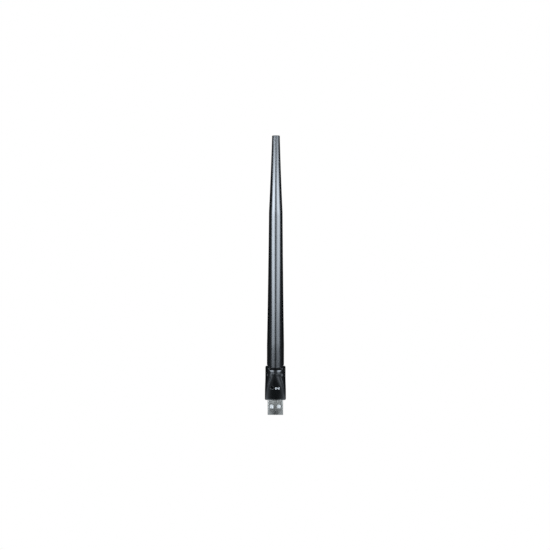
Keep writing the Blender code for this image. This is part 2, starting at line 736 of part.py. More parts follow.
def antenna_knuckle(parent):
    """The barrel that turns between the ears, with the spigot that plugs into the antenna cover."""
    left = Vector((-KNUCKLE_HALF_WIDTH, PIVOT.y, PIVOT.z))
    right = Vector((KNUCKLE_HALF_WIDTH, PIVOT.y, PIVOT.z))
    knuckle = rod("antenna_knuckle", KNUCKLE_RADIUS, left, right, "satin_black", parent, 0.2 * MM)
    tongue_low = (-KNUCKLE_HALF_WIDTH, -TONGUE_HALF_DEPTH, PIVOT.z)
    tongue_high = (KNUCKLE_HALF_WIDTH, TONGUE_HALF_DEPTH, 31.0 * MM)
    spigot = rod("guide_spigot", SPIGOT_RADIUS, (0, 0, 21.0 * MM), (0, 0, SPIGOT_TOP_Z), chamfer=0.5 * MM)
    saddle_ends = [Vector((side * FAR, PIVOT.y, PIVOT.z)) for side in (-1, 1)]
    cut(spigot, rod("cutter_spigot_saddle", SADDLE_RADIUS + 0.2 * MM, *saddle_ends, steps=72))
    join(knuckle, box("guide_knuckle_tongue", tongue_low, tongue_high), spigot)
    bore = PIN_RADIUS + PIN_CLEARANCE
    for side in (-1, 1):
        start = Vector((side * (PIN_INNER_X - 0.1 * MM), PIVOT.y, PIVOT.z))
        end = Vector((side * FAR, PIVOT.y, PIVOT.z))
        cut(knuckle, rod(f"cutter_knuckle_bore_{side}", bore, start, end))
    channel_top = SPIGOT_TOP_Z + MM
    cut(knuckle, rod("cutter_channel", COAX_HOLE_RADIUS, PIVOT, (0, 0, channel_top)))
    cut(knuckle, rod("cutter_spigot_core", 3.6 * MM, (0, 0, 32.0 * MM), (0, 0, channel_top)))
    slot_low = (-COAX_HOLE_RADIUS, -COAX_HOLE_RADIUS, PIVOT.z - KNUCKLE_RADIUS - MM)
    slot_high = (COAX_HOLE_RADIUS, KNUCKLE_RADIUS + MM, PIVOT.z + COAX_HOLE_RADIUS)
    cut(knuckle, box("cutter_cable_slot", slot_low, slot_high))


# Antenna ------------------------------------------------------------------------------------------------


def antenna_half_width(z):
    """Half the antenna's width: parallel at the base, a slow taper to the knee, then a faster one."""
    if z <= KNEE_Z:
        share = clamp((z - COLLAR_TOP_Z) / (KNEE_Z - COLLAR_TOP_Z))
        return ANTENNA_HALF_WIDTH - (ANTENNA_HALF_WIDTH - KNEE_HALF_WIDTH) * share * (1.33 - 0.33 * share)
    share = (z - KNEE_Z) / (ANTENNA_TIP_Z - KNEE_Z)
    return KNEE_HALF_WIDTH - (KNEE_HALF_WIDTH - TIP_HALF_WIDTH) * share * (1.26 - 0.26 * share)


def antenna_flatness(z):
    """Width over depth: round at the base, a flattened oval above the knee."""
    lower = ease((z - COLLAR_TOP_Z) / (KNEE_Z - COLLAR_TOP_Z))
    upper = clamp((z - KNEE_Z) / (ANTENNA_TIP_Z - KNEE_Z))
    return mix(1.0, KNEE_FLATNESS, lower) + (TIP_FLATNESS - KNEE_FLATNESS) * upper


def antenna_ring(z, inset=0.0, steps=COVER_STEPS):
    half_x = antenna_half_width(z)
    half_y = half_x / antenna_flatness(z)
    angles = [2 * math.pi * k / steps for k in range(steps)]
    return [((half_x - inset) * math.cos(a), (half_y - inset) * math.sin(a), z) for a in angles]


def antenna_cover(parent):
    """A long one-piece tube, closed at the tip and hollowed at the bottom to clear the hinge head."""
    outer_heights = [APRON_Z, 33 * MM, COLLAR_TOP_Z]
    outer_heights += [h * MM for h in (54, 66, 80, 96, 112, 130, 141)] + [KNEE_Z]
    outer_heights += [h * MM for h in (151, 158, 168, 180, 192, 200)]
    rings = [antenna_ring(z) for z in outer_heights]
    for share in (1.0, 0.5, 0.0):
        inset = TIP_ROUND * (1 - math.sqrt(1 - (1 - share) ** 2)) if share else TIP_ROUND
        rings.append(antenna_ring(ANTENNA_TIP_Z - TIP_ROUND * share, inset))
    inner_heights = [ANTENNA_TIP_Z - TIP_THICKNESS] + [h * MM for h in (180, 158)] + [KNEE_Z]
    inner_heights += [h * MM for h in (125, 100, 75, 54)] + [COLLAR_TOP_Z, APRON_Z]
    inner_rings = [antenna_ring(z, COVER_WALL) for z in inner_heights]
    bm = bmesh.new()
    outside = [[bm.verts.new(p) for p in ring] for ring in rings]
    inside = [[bm.verts.new(p) for p in ring] for ring in inner_rings]
    skin(bm, outside, closed_ends=False)
    bm.faces.new(outside[-1])
    skin(bm, inside, closed_ends=False)
    bm.faces.new(inside[0])
    skin(bm, [inside[-1], outside[0]], closed_ends=False)
    cover = finish("antenna_cover", bm, "satin_black", parent=parent)
    cut(cover, saddle_cutter())


def saddle_cutter():
    """A round bar across the hinge axis that hollows the antenna's lower end to clear the round head.
    Between the ears its front is cut away, which leaves the straight apron at the front of the cover."""
    whole = arc((PIVOT.y, PIVOT.z), SADDLE_RADIUS, 0, 360, 72)[:-1]
    back = [(max(y, APRON_BACK_Y), z) for y, z in whole]
    step = 0.02 * MM
    stations = [(FAR, whole), (APRON_HALF_WIDTH, whole), (APRON_HALF_WIDTH - step, back)]
    stations += [(-x, outline) for x, outline in reversed(stations)]
    return loft("cutter_cover_saddle", [[(x, y, z) for y, z in outline] for x, outline in stations])


def antenna_internals(parent):
    """A sleeve dipole with a phasing coil: brass sleeve, feed insulator, coiled radiator and spacers."""
    sleeve_low, sleeve_high = 62.0 * MM, 90.0 * MM
    coax_top = sleeve_high - 1.4 * MM
    coax_path = [(0, 0, PIVOT.z + 0.7 * MM), (0, 0, coax_top)]
    cable("coax_upper", coax_path, COAX_RADIUS, "cable_grey", parent, smooth=0)
    outer, inner, roof = 2.2 * MM, 1.9 * MM, 1.2 * MM
    profile = [
        (outer, sleeve_low),
        (outer, sleeve_high - 0.4 * MM),
        (outer - 0.4 * MM, sleeve_high),
        (0.3 * MM, sleeve_high),
        (0.3 * MM, sleeve_high - roof + 0.3 * MM),
        (inner, sleeve_high - roof + 0.3 * MM),
        (inner, sleeve_low),
    ]
    tube("antenna_sleeve", profile, "brass", parent)
    wire_start, coil_low, coil_high, wire_end = [h * MM for h in (90.5, 118.0, 128.0, 185.0)]
    turns, coil_radius, coil_steps = 4, 1.6 * MM, 12
    path = [(0, 0, wire_start), (0, 0, coil_low - 1.5 * MM)]
    for k in range(turns * coil_steps + 1):
        share = k / (turns * coil_steps)
        angle = 2 * math.pi * turns * share
        swell = coil_radius * clamp(8 * min(share, 1 - share) * turns / 4)
        z = mix(coil_low, coil_high, share)
        path.append((swell * math.cos(angle), swell * math.sin(angle), z))
    path += [(0, 0, coil_high + 1.5 * MM), (0, 0, wire_end)]
    cable("radiator_wire", path, 0.4 * MM, "copper", parent, 1, 0)
    feed = [(0.5, 90.4), (1.1, 90.4), (1.1, 97.0), (0.5, 97.0)]
    tube("feed_insulator", [(r * MM, z * MM) for r, z in feed], "chip_black", parent)
    for name, low, hole in (("lower", 74.0, 2.3), ("middle", 106.0, 0.5), ("upper", 160.0, 0.5)):
        spacer(f"spacer_{name}", low * MM, hole * MM, parent)


def tube(name, profile, colour, parent):
    """A turned ring about the antenna's centre line, from a closed profile of (radius, z)."""
    bm = bmesh.new()
    rings = []
    for radius, z in profile:
        angles = [2 * math.pi * k / ROUND_STEPS for k in range(ROUND_STEPS)]
        rings.append([bm.verts.new((radius * math.cos(a), radius * math.sin(a), z)) for a in angles])
    skin(bm, rings + [rings[0]], closed_ends=False)
    return finish(name, bm, colour, parent=parent)


def spacer(name, low, hole, parent):
    """An oval foam disc that centres the radiator in the cover."""
    high = low + 5.0 * MM
    inset = COVER_WALL + 0.15 * MM
    bm = bmesh.new()
    rings = []
    for z, bore in ((low, False), (high, False), (high, True), (low, True)):
        if bore:
            angles = [2 * math.pi * k / ROUND_STEPS for k in range(ROUND_STEPS)]
            points = [(hole * math.cos(a), hole * math.sin(a), z) for a in angles]
        else:
            points = [(x, y, z) for x, y, _ in antenna_ring(high, inset, ROUND_STEPS)]
        rings.append([bm.verts.new(p) for p in points])
    skin(bm, rings + [rings[0]], closed_ends=False)
    return finish(name, bm, "foam_grey", parent=parent)


def coax_lower():
    """The cable from the board connector up through the floor of the hinge room to the pivot."""
    points = [(2.6, -0.75, 11.2), (1.4, -0.75, 11.7), (0.5, -0.75, 12.4), (0.05, -0.62, 13.1)]
    points += [(0.0, -0.25, 13.9), (0.0, -0.05, 14.8), (0.0, 0.0, 16.2), (0.0, 0.0, 17.8)]
    cable("coax_lower", [Vector(p) * MM for p in points], COAX_RADIUS, "cable_grey", smooth=3)


def lift_onto_plug_end():
    for obj in bpy.data.objects:
        if obj.parent is None:
            obj.location.z += PLUG_REACH


def main():
    clear_scene()
    tilt_axis = empty("antenna_tilt_axis", PIVOT)
    button_axis = empty("button_press_axis", (BUTTON_X, 0, BUTTON_Z))
    cutters = shell_cutters()
    front_shell(cutters)
    rear_shell(cutters)
    button_cap(button_axis)
    usb_shell()
    usb_insulator()
    usb_contacts()
    circuit_board()
    board_components()
    shield_can()
    tact_switch(button_axis)
    coax_connector()
    coax_lower()
    hinge_hardware(tilt_axis)
    antenna_knuckle(tilt_axis)
    antenna_cover(tilt_axis)
    antenna_internals(tilt_axis)
    lift_onto_plug_end()


main()
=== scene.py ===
"""The looks of a USB wireless adapter with a long tilting antenna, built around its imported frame.

Lengths are metres, written in millimetres times MM. +Z runs up the antenna and -Y is the front, where the
push button is. Rounded mouldings are meshed from distance fields; turned and drawn parts are lofted.
"""

import json
import math

import bmesh
import bpy
import numpy as np
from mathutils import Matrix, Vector


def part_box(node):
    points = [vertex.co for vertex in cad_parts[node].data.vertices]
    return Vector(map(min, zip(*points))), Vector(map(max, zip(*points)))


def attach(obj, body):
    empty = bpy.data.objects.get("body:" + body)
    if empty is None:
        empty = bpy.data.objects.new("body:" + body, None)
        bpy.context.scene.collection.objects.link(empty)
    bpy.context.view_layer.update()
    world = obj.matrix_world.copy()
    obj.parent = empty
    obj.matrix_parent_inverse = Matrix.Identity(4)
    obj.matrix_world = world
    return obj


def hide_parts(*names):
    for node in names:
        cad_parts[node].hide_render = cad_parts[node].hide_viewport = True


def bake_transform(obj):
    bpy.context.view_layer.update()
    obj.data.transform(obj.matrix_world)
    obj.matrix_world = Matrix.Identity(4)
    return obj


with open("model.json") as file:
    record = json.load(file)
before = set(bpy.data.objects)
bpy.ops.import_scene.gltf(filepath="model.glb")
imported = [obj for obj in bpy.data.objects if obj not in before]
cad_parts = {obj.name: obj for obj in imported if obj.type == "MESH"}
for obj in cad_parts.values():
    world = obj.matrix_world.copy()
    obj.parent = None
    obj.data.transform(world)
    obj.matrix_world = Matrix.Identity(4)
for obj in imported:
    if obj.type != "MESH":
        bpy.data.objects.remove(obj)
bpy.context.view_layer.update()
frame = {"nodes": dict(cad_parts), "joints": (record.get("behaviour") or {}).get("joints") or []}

MM = 0.001

# Places and sizes taken from the frame ------------------------------------------------------------------
FRONT_LOW, FRONT_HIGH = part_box("front_shell")
PLUG_LOW, PLUG_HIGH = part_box("usb_shell")
COVER_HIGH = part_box("antenna_cover")[1]
KEY_LOW, KEY_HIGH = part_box("button_cap")
KNUCKLE_LOW, KNUCKLE_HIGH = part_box("antenna_knuckle")
PIVOT = Vector(next(j["pos_m"] for j in frame["joints"] if j["name"] == "antenna_tilt"))
SEAT_Z = FRONT_LOW.z
BASE_HALF_WIDTH = FRONT_HIGH.x
KEY_AT = Vector(((KEY_LOW.x + KEY_HIGH.x) / 2, KEY_LOW.y, (KEY_LOW.z + KEY_HIGH.z) / 2))

# Housing ------------------------------------------------------------------------------------------------
ARCH_RADIUS = 8.1 * MM
HEAD_HALF_WIDTH = 7.9 * MM
BASE_HALF_DEPTH = 4.7 * MM
FRONT_HALF_DEPTH = 7.83 * MM
REAR_HALF_DEPTH = 7.5 * MM
ROOM_HALF_DEPTH = 5.9 * MM
WAIST_Z = SEAT_Z + 6.0 * MM
WEDGE_TOP_Z = SEAT_Z + 20.7 * MM
BASE_ROUNDNESS = 0.11
HEAD_ROUNDNESS = 0.476
ROUNDNESS_GROWTH = 1.6
CROWN_ROUND = 1.2 * MM
RIM_Z = SEAT_Z + 23.4 * MM
WALL = 1.4 * MM
NECK_ROUND = 1.2 * MM
LEAST_HEAD_DEPTH = 0.5 * MM
SEAM_GAP = 0.1 * MM
SEAM_ROUND = 0.14 * MM
LIP_INSET, LIP_REACH, LIP_GAP = 0.75 * MM, 0.6 * MM, 0.08 * MM
FLOOR_Z = SEAT_Z + 1.3 * MM
BOARD_ROOM_TOP = SEAT_Z + 13.7 * MM
HINGE_ROOM_FLOOR = SEAT_Z + 14.6 * MM
EAR_INNER_X = 4.9 * MM
BASE_ROUND = 1.0 * MM
BROW_ROUND = 0.03 * MM
ROOM_EDGE_ROUND = 0.1 * MM
OVERLAP = 1.0 * MM
PLUG_HOLE_GAP = 0.12 * MM
PLUG_HOLE_ROUND = 0.15 * MM
CABLE_HOLE_RADIUS = 0.9 * MM
PIN_BORE_RADIUS, PIN_BORE_END_X = 1.25 * MM, 6.8 * MM
RIB_LOW_X, RIB_HIGH_X = 5.6 * MM, 7.3 * MM
RIB_LOW_Z, RIB_HIGH_Z = SEAT_Z + 6.2 * MM, SEAT_Z + 8.0 * MM
FRONT_RIB_Y, REAR_RIB_Y = (-3.4 * MM, 0.0), (1.2 * MM, 3.2 * MM)
KEY_HOLE_RADIUS = 1.18 * MM
KEY_HOLE_BACK_Y = -3.0 * MM
KEY_HOLE_ROUND = 0.28 * MM
PRINT_X, PRINT_DROP = 1.55 * MM, 0.5 * MM
PRINT_STROKE, PRINT_INK = 0.30 * MM, 0.02 * MM
PRINT_ARCS = ((0.92 * MM, 48), (1.62 * MM, 33))
PRINT_DOT_RADIUS = 0.34 * MM
HOUSING_CELL = 0.2 * MM
KNUCKLE_CELL = 1.1 * HOUSING_CELL

# Antenna ------------------------------------------------------------------------------------------------
ANTENNA_HALF_WIDTH = COVER_HIGH.x
COLLAR_TOP_Z = SEAT_Z + 42.6 * MM
KNEE_Z = SEAT_Z + 146.5 * MM
TIP_Z = COVER_HIGH.z
KNEE_HALF_WIDTH = 5.31 * MM
TIP_HALF_WIDTH = 3.0 * MM
LOWER_BOW, UPPER_BOW = 0.33, 0.26
KNEE_FLATNESS = 1.35
TIP_FLATNESS = 1.42
COVER_WALL = 1.3 * MM
LEVEL_Z = SEAT_Z + 33.0 * MM
HOLLOW_SHOULDER_Z, HOLLOW_TOP_Z = SEAT_Z + 180.0 * MM, SEAT_Z + 202.5 * MM
TIP_ROUND = 0.5 * MM
TIP_STEP = 0.4 * MM
TIP_CROWN = 0.04 * MM
SADDLE_RADIUS = 8.4 * MM
APRON_Z = SEAT_Z + 24.8 * MM
APRON_HALF_WIDTH = 4.75 * MM
APRON_STEP = 0.2 * MM
RIM_ROUND = 0.45 * MM
INNER_RIM_ROUND = 0.15 * MM
CABLE_RADIUS = 0.57 * MM
AROUND = 192

# Studio -------------------------------------------------------------------------------------------------
ROOM_DARK, ROOM_FRONT = 0.02, 0.30
ROOM_FADE = (0.6, -1.0)
FLOOR_HALF = 1.2
FLOOR_DROP = 0.2 * MM
FLOOR_GLOW = 0.05
FRONT_POOL_GLOW = (1.35, 0.25)
FRONT_POOL_NEAR, FRONT_POOL_FAR = 35 * MM, 90 * MM
# Degrees to either side of the front, over which the front pools come up and die away.
FRONT_POOL_INNER, FRONT_POOL_OUTER = (4, 26), (48, 85)
FAR_POOL_GLOW = 2.1
FAR_POOL_EDGE = -0.5
FAR_POOL_NEAR, FAR_POOL_FAR = 80 * MM, 160 * MM
FAR_POOL_LOW_VIEW, FAR_POOL_HIGH_VIEW = 0.12, 0.20
FAR_POOL_COUNT, FAR_POOL_FIRST = 6, 15
STUDIO_TINT = (0.79, 0.89, 1.0)
LIGHT_CENTRE = Vector((0, 0, 0.1))
LIGHT_DISTANCE = 1.1
LIGHT_COLUMNS, LIGHT_ROWS = 16, 30
# Pairs of degrees above level, in front, and the glow there.
FRONT_GLOW = ((-8, 0.45), (-5, 0.38), (-1, 0.23), (3, 0.44), (6, 0.80))
FRONT_GLOW += ((12, 1.12), (16, 0.95), (20, 0.3), (26, 0.0))
TOP_GLOW = ((24, 0.0), (36, 0.15), (50, 0.8), (58, 1.1), (75, 1.1), (95, 0.0))
PICTURE_WIDTH = 429.9 * MM
CAMERA_X, CAMERA_Z = -0.50 * MM, 109.15 * MM
CAMERA_ROLL = -0.12


# Small sums ---------------------------------------------------------------------------------------------


def mix(a, b, share):
    return a + (b - a) * share


def ease(share):
    share = np.clip(share, 0.0, 1.0)
    return share * share * (3 - 2 * share)


def soft_max(a, b, radius):
    """The larger of two lengths, with the crease between them rounded."""
    return np.maximum(a, b) + np.maximum(radius - np.abs(a - b), 0) ** 2 / (4 * radius)


# Distance fields: negative inside. Points are arrays whose last axis is x, y, z --------------------------


def both(a, b, radius=0.0):
    """Inside a and b, with the edge where they meet rounded."""
    outside = np.hypot(np.maximum(a + radius, 0), np.maximum(b + radius, 0))
    return np.minimum(np.maximum(a, b), -radius) + outside


def carve(a, b, radius=0.0):
    return both(a, -b, radius)


def either(a, b, radius=0.0):
    return -both(-a, -b, radius)


def slab(value, low, high):
    return np.abs(value - (low + high) / 2) - (high - low) / 2


def brick(p, low, high):
    x, y, z = (slab(p[..., k], low[k], high[k]) for k in range(3))
    return np.maximum(np.maximum(x, y), z)


def bar(p, axis, centre, radius):
    """An endless round bar along one axis."""
    a, b = (k for k in range(3) if k != axis)
    return np.hypot(p[..., a] - centre[a], p[..., b] - centre[b]) - radius


def slope(points, field, step=0.01 * MM):
    rows = []
    for k in range(3):
        shift = np.zeros(3)
        shift[k] = step
        rows.append((field(points + shift) - field(points - shift)) / (2 * step))
    return np.stack(rows, axis=-1)


def pull_onto(points, field, cell):
    """Newton steps onto the surface, none longer than half a cell."""
    for _ in range(4):
        direction = slope(points, field)
        size = np.maximum((direction**2).sum(-1), 0.05)
        reach = np.clip(field(points) / size, -cell / 2, cell / 2)
        points = points - direction * reach[:, None]
    return points


def mesh_of_field(name, field, low, high, cell):
    """A closed mesh of the field's zero surface by surface nets: each cell the surface crosses gets one
    vertex, and each crossed grid edge one quad between the four cells around it."""
    axes = [np.arange(a - 2 * cell, b + 3 * cell, cell) for a, b in zip(low, high)]
    grid = np.stack(np.meshgrid(*axes, indexing="ij"), axis=-1)
    value = field(grid)
    inside = value < 0
    total, count = np.zeros(grid.shape), np.zeros(value.shape)
    quads = []
    for axis in range(3):
        unit = np.eye(3, dtype=int)
        crossed = np.argwhere(inside != np.roll(inside, -1, axis))
        here, there = tuple(crossed.T), tuple((crossed + unit[axis]).T)
        share = value[here] / (value[here] - value[there])
        points = grid[here] + share[:, None] * cell * unit[axis]
        side_b, side_c = unit[(axis + 1) % 3], unit[(axis + 2) % 3]
        ring = [crossed - side_b - side_c, crossed - side_c, crossed, crossed - side_b]
        for corner in ring:
            np.add.at(total, tuple(corner.T), points)
            np.add.at(count, tuple(corner.T), 1)
        numbers = np.stack([np.ravel_multi_index(tuple(c.T), value.shape) for c in ring], axis=1)
        outward = inside[here]
        quads.append(np.where(outward[:, None], numbers, numbers[:, ::-1]))
    used, faces = np.unique(np.concatenate(quads), return_inverse=True)
    points = total.reshape(-1, 3)[used] / count.ravel()[used][:, None]
    points = pull_onto(points, field, cell)
    mesh = bpy.data.meshes.new(name)
    mesh.from_pydata(points.tolist(), [], faces.reshape(-1, 4).tolist())
    mesh.shade_smooth()
    normals = slope(points, field)
    normals /= np.linalg.norm(normals, axis=1)[:, None]
    mesh.normals_split_custom_set_from_vertices(normals.tolist())
    return add_object(name, mesh)


# Mesh helpers -------------------------------------------------------------------------------------------


def add_object(name, mesh):
    obj = bpy.data.objects.new(name, mesh)
    bpy.context.scene.collection.objects.link(obj)
    return obj


def skin(bm, rings, closed=False):
    """Quads between successive rings of points. closed joins the last ring to the first."""
    loops = [[bm.verts.new(point) for point in ring] for ring in rings]
    pairs = list(zip(loops, loops[1:] + loops[:1] if closed else loops[1:]))
    for low, high in pairs:
        for k in range(len(low)):
            after = (k + 1) % len(low)
            bm.faces.new((low[k], low[after], high[after], high[k]))
    return loops


def object_from(name, bm, sharp_degrees=None):
    bmesh.ops.recalc_face_normals(bm, faces=bm.faces)
    mesh = bpy.data.meshes.new(name)
    bm.to_mesh(mesh)
    bm.free()
    mesh.shade_smooth()
    if sharp_degrees:
        mesh.set_sharp_from_angle(angle=math.radians(sharp_degrees))
    return add_object(name, mesh)


def solid(name, rings, sharp_degrees=None):
    """A closed solid through rings of points, with a flat cap on each end."""
    bm = bmesh.new()
    loops = skin(bm, rings)
    bm.faces.new(loops[0])
    bm.faces.new(loops[-1])
    return object_from(name, bm, sharp_degrees)


def hoop(name, rings, sharp_degrees=None):
    """A closed solid whose last ring joins its first."""
    bm = bmesh.new()
    skin(bm, rings, closed=True)
    return object_from(name, bm, sharp_degrees)


def circle(radius, steps):
    angles = [2 * math.pi * k / steps for k in range(steps)]
    return [(radius * math.cos(a), radius * math.sin(a)) for a in angles]


def corner_arc(centre, radius, start, steps):
    """A quarter circle of points from start degrees, anticlockwise."""
    angles = [math.radians(start + 90 * k / steps) for k in range(steps + 1)]
    return [(centre[0] + radius * math.cos(a), centre[1] + radius * math.sin(a)) for a in angles]


def rounded_rectangle(half_x, half_y, corner, steps=6, centre=(0.0, 0.0)):
    points = []
    for quarter, (sx, sy) in enumerate(((1, 1), (-1, 1), (-1, -1), (1, -1))):
        middle = (centre[0] + sx * (half_x - corner), centre[1] + sy * (half_y - corner))
        points += corner_arc(middle, corner, 90 * quarter, steps)
    return points


def cut_and_bevel(obj, cutters, joined, width):
    """Cuts and joins other solids, bevels the edges, and keeps the result as a plain mesh."""
    for others, operation in ((joined, "UNION"), (cutters, "DIFFERENCE")):
        for other in others:
            modifier = obj.modifiers.new(other.name, "BOOLEAN")
            modifier.operation = operation
            modifier.object = other
    bevel = obj.modifiers.new("edge_break", "BEVEL")
    bevel.width = width
    bevel.segments = 2
    bevel.limit_method = "ANGLE"
    bevel.angle_limit = math.radians(40)
    bevel.harden_normals = True
    graph = bpy.context.evaluated_depsgraph_get()
    obj.data = bpy.data.meshes.new_from_object(obj.evaluated_get(graph))
    obj.modifiers.clear()
    for other in cutters + joined:
        bpy.data.objects.remove(other)
    return obj


def dress(obj, material, body, slot, *nodes):
    """Gives a new piece its material and its body, and hides the CAD nodes it stands for.
    The slot argument is not used.
    """
    obj.data.materials.clear()
    obj.data.materials.append(material)
    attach(obj, body)
    if nodes:
        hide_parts(*nodes)
    return obj


# Shader sums --------------------------------------------------------------------------------------------


def maths(tree, operation, *values):
    """A sum on shader sockets and numbers."""
    node = tree.nodes.new("ShaderNodeMath")
    node.operation = operation
    for target, value in zip(node.inputs, values):
        if isinstance(value, (int, float)):
            target.default_value = value
        else:
            tree.links.new(value, target)
    return node.outputs["Value"]


def between(tree, value, start, end, low, high, interpolation="LINEAR"):
    """Carries value between start and end to a number between low and high."""
    node = tree.nodes.new("ShaderNodeMapRange")
    node.interpolation_type = interpolation
    for key, number in (("From Min", start), ("From Max", end), ("To Min", low), ("To Max", high)):
        node.inputs[key].default_value = number
    tree.links.new(value, node.inputs["Value"])
    return node.outputs["Result"]


def split_axes(tree, vector):
    """The X, Y and Z sockets of a vector."""
    node = tree.nodes.new("ShaderNodeSeparateXYZ")
    tree.links.new(vector, node.inputs["Vector"])
    return node.outputs


# Materials ----------------------------------------------------------------------------------------------


class Shader:
    """A Principled material and short ways to drive its inputs from procedural textures in millimetres."""

    def __init__(self, name, colour, roughness, metallic=0.0, specular=0.5):
        self.material = bpy.data.materials.new(name)
        self.material.use_nodes = True
        self.tree = self.material.node_tree
        self.main = self.tree.nodes["Principled BSDF"]
        self.colour = (*colour, 1.0)
        self.roughness = roughness
        self.set("Base Color", self.colour)
        self.set("Roughness", roughness)
        self.set("Metallic", metallic)
        self.set("Specular IOR Level", specular)
        self.material.diffuse_color = self.colour
        self.place = self.tree.nodes.new("ShaderNodeTexCoord").outputs["Object"]

    def set(self, name, value):
        self.main.inputs[name].default_value = value

    def link(self, output, target):
        self.tree.links.new(output, target)

    def noise(self, size_mm, stretch=(1, 1, 1), detail=3.0):
        """Noise whose features are about size_mm across, drawn out along an axis by its stretch."""
        mapping = self.tree.nodes.new("ShaderNodeMapping")
        mapping.inputs["Scale"].default_value = [1 / (size_mm * MM * s) for s in stretch]
        self.link(self.place, mapping.inputs["Vector"])
        noise = self.tree.nodes.new("ShaderNodeTexNoise")
        noise.inputs["Scale"].default_value = 1.0
        noise.inputs["Detail"].default_value = detail
        self.link(mapping.outputs["Vector"], noise.inputs["Vector"])
        return noise.outputs["Fac"]

    def ramp(self, value, low, high, start=0.3, end=0.7):
        """Carries value between start and end to a number between low and high."""
        return between(self.tree, value, start, end, low, high)

    def height(self):
        """Height up the piece, in metres."""
        return split_axes(self.tree, self.place)["Z"]

    def blend_colours(self, share, a, b):
        node = self.tree.nodes.new("ShaderNodeMix")
        node.data_type = "RGBA"
        for target, source in (("A", a), ("B", b)):
            socket = next(s for s in node.inputs if s.name == target and s.type == "RGBA")
            if isinstance(source, tuple):
                socket.default_value = source
            else:
                self.link(source, socket)
        self.link(share, node.inputs["Factor"])
        return next(s for s in node.outputs if s.type == "RGBA")

    def mottle(self, size_mm, spread, stretch=(1, 1, 1)):
        """Drifts the colour lighter and darker by spread."""
        light = tuple(min(c * (1 + spread), 1.0) for c in self.colour[:3]) + (1.0,)
        dark = tuple(c * (1 - spread) for c in self.colour[:3]) + (1.0,)
        share = self.ramp(self.noise(size_mm, stretch), 0.0, 1.0)
        self.link(self.blend_colours(share, dark, light), self.main.inputs["Base Color"])
        return self

    def vary_roughness(self, size_mm, spread, stretch=(1, 1, 1)):
        low, high = self.roughness * (1 - spread), self.roughness * (1 + spread)
        self.link(self.ramp(self.noise(size_mm, stretch), low, high), self.main.inputs["Roughness"])
        return self

    def bump(self, height, depth_mm, strength=1.0):
        node = self.tree.nodes.new("ShaderNodeBump")
        node.inputs["Strength"].default_value = strength
        node.inputs["Distance"].default_value = depth_mm * MM
        self.link(height, node.inputs["Height"])
        if self.main.inputs["Normal"].is_linked:
            self.link(self.main.inputs["Normal"].links[0].from_socket, node.inputs["Normal"])
        self.link(node.outputs["Normal"], self.main.inputs["Normal"])
        return self

    def grain(self, size_mm, depth_mm, strength=1.0, stretch=(1, 1, 1)):
        return self.bump(self.noise(size_mm, stretch), depth_mm, strength)


def gloss_black():
    """Polished black ABS: a faint moulded ripple, and haze where it has been handled."""
    look = Shader("gloss_black_abs", (0.0010, 0.0012, 0.0013), 0.14, specular=1.0)
    look.vary_roughness(3.0, 0.15)
    look.grain(4.0, 0.004, 0.5)
    return look.material


def satin_black():
    """Satin black plastic, matter towards the tip, with faint flow marks drawn out along the tube."""
    look = Shader("satin_black_tube", (0.0010, 0.0011, 0.0012), 0.17, specular=1.0)
    tip_roughness, matt_length, drift = 0.38, 40 * MM, 0.015
    towards_tip = look.ramp(look.height(), look.roughness, tip_roughness, TIP_Z - matt_length, TIP_Z)
    flow = look.ramp(look.noise(2.5, (1, 1, 8)), -drift, drift)
    look.link(maths(look.tree, "ADD", towards_tip, flow), look.main.inputs["Roughness"])
    look.grain(3.0, 0.002, 0.5, (1, 1, 10))
    return look.material


def smoked_plastic():
    look = Shader("smoked_key", (0.0010, 0.0010, 0.0012), 0.45, specular=0.02)
    look.vary_roughness(0.8, 0.2)
    return look.material


def plated_steel(name, colour, roughness, stretch):
    """Nickel plate over rolled steel, with fine drawing lines."""
    look = Shader(name, colour, roughness, metallic=1.0)
    look.mottle(0.8, 0.05, stretch)
    look.vary_roughness(1.2, 0.10, stretch)
    return look


def plate_with_painted_shade():
    """The plug's plating, darker towards its mouth: painted shade standing in for the dimmer reflections
    low on the plug.
    """
    look = plated_steel("nickel_plate", (0.92, 0.88, 0.80), 0.22, (1, 1, 6))
    # Painted shade: the plate's colour is blended to a dark grey towards the mouth, in place of the darker
    # reflections there.
    bright = look.ramp(look.height(), 0.0, 1.0, 0.0, SEAT_Z)
    plate_colour = look.main.inputs["Base Color"].links[0].from_socket
    painted_shade = (0.20, 0.195, 0.18, 1.0)
    look.link(look.blend_colours(bright, painted_shade, plate_colour), look.main.inputs["Base Color"])
    return look.material


def coloured_metal(name, colour, roughness):
    look = Shader(name, colour, roughness, metallic=1.0)
    look.mottle(0.8, 0.08)
    look.vary_roughness(0.3, 0.25)
    look.grain(0.06, 0.0008, 0.5)
    return look.material


def moulded(name, colour, roughness, spread=0.06, grain_depth=0.002):
    look = Shader(name, colour, roughness)
    look.mottle(2.0, spread)
    look.vary_roughness(0.8, 0.15)
    look.grain(0.15, grain_depth, 0.5)
    return look.material


def white_print():
    """Pad-printed white ink, slightly uneven."""
    look = Shader("white_print", (0.62, 0.62, 0.61), 0.5)
    look.mottle(0.3, 0.05)
    look.grain(0.08, 0.002, 0.4)
    return look.material


def solder_mask():
    """Green mask over copper tracks: a square web of slightly raised, lighter lines."""
    look = Shader("solder_mask", (0.010, 0.075, 0.030), 0.32)
    mapping = look.tree.nodes.new("ShaderNodeMapping")
    mapping.inputs["Scale"].default_value = [1 / (1.1 * MM)] * 3
    look.link(look.place, mapping.inputs["Vector"])
    cells = look.tree.nodes.new("ShaderNodeTexVoronoi")
    cells.feature = "DISTANCE_TO_EDGE"
    cells.inputs["Scale"].default_value = 1.0
    look.link(mapping.outputs["Vector"], cells.inputs["Vector"])
    track = look.ramp(cells.outputs["Distance"], 1.0, 0.0, 0.06, 0.10)
    light = (0.030, 0.160, 0.060, 1.0)
    look.link(look.blend_colours(track, look.colour, light), look.main.inputs["Base Color"])
    look.bump(track, 0.03, 0.6)
    look.grain(0.1, 0.002, 0.3)
    return look.material


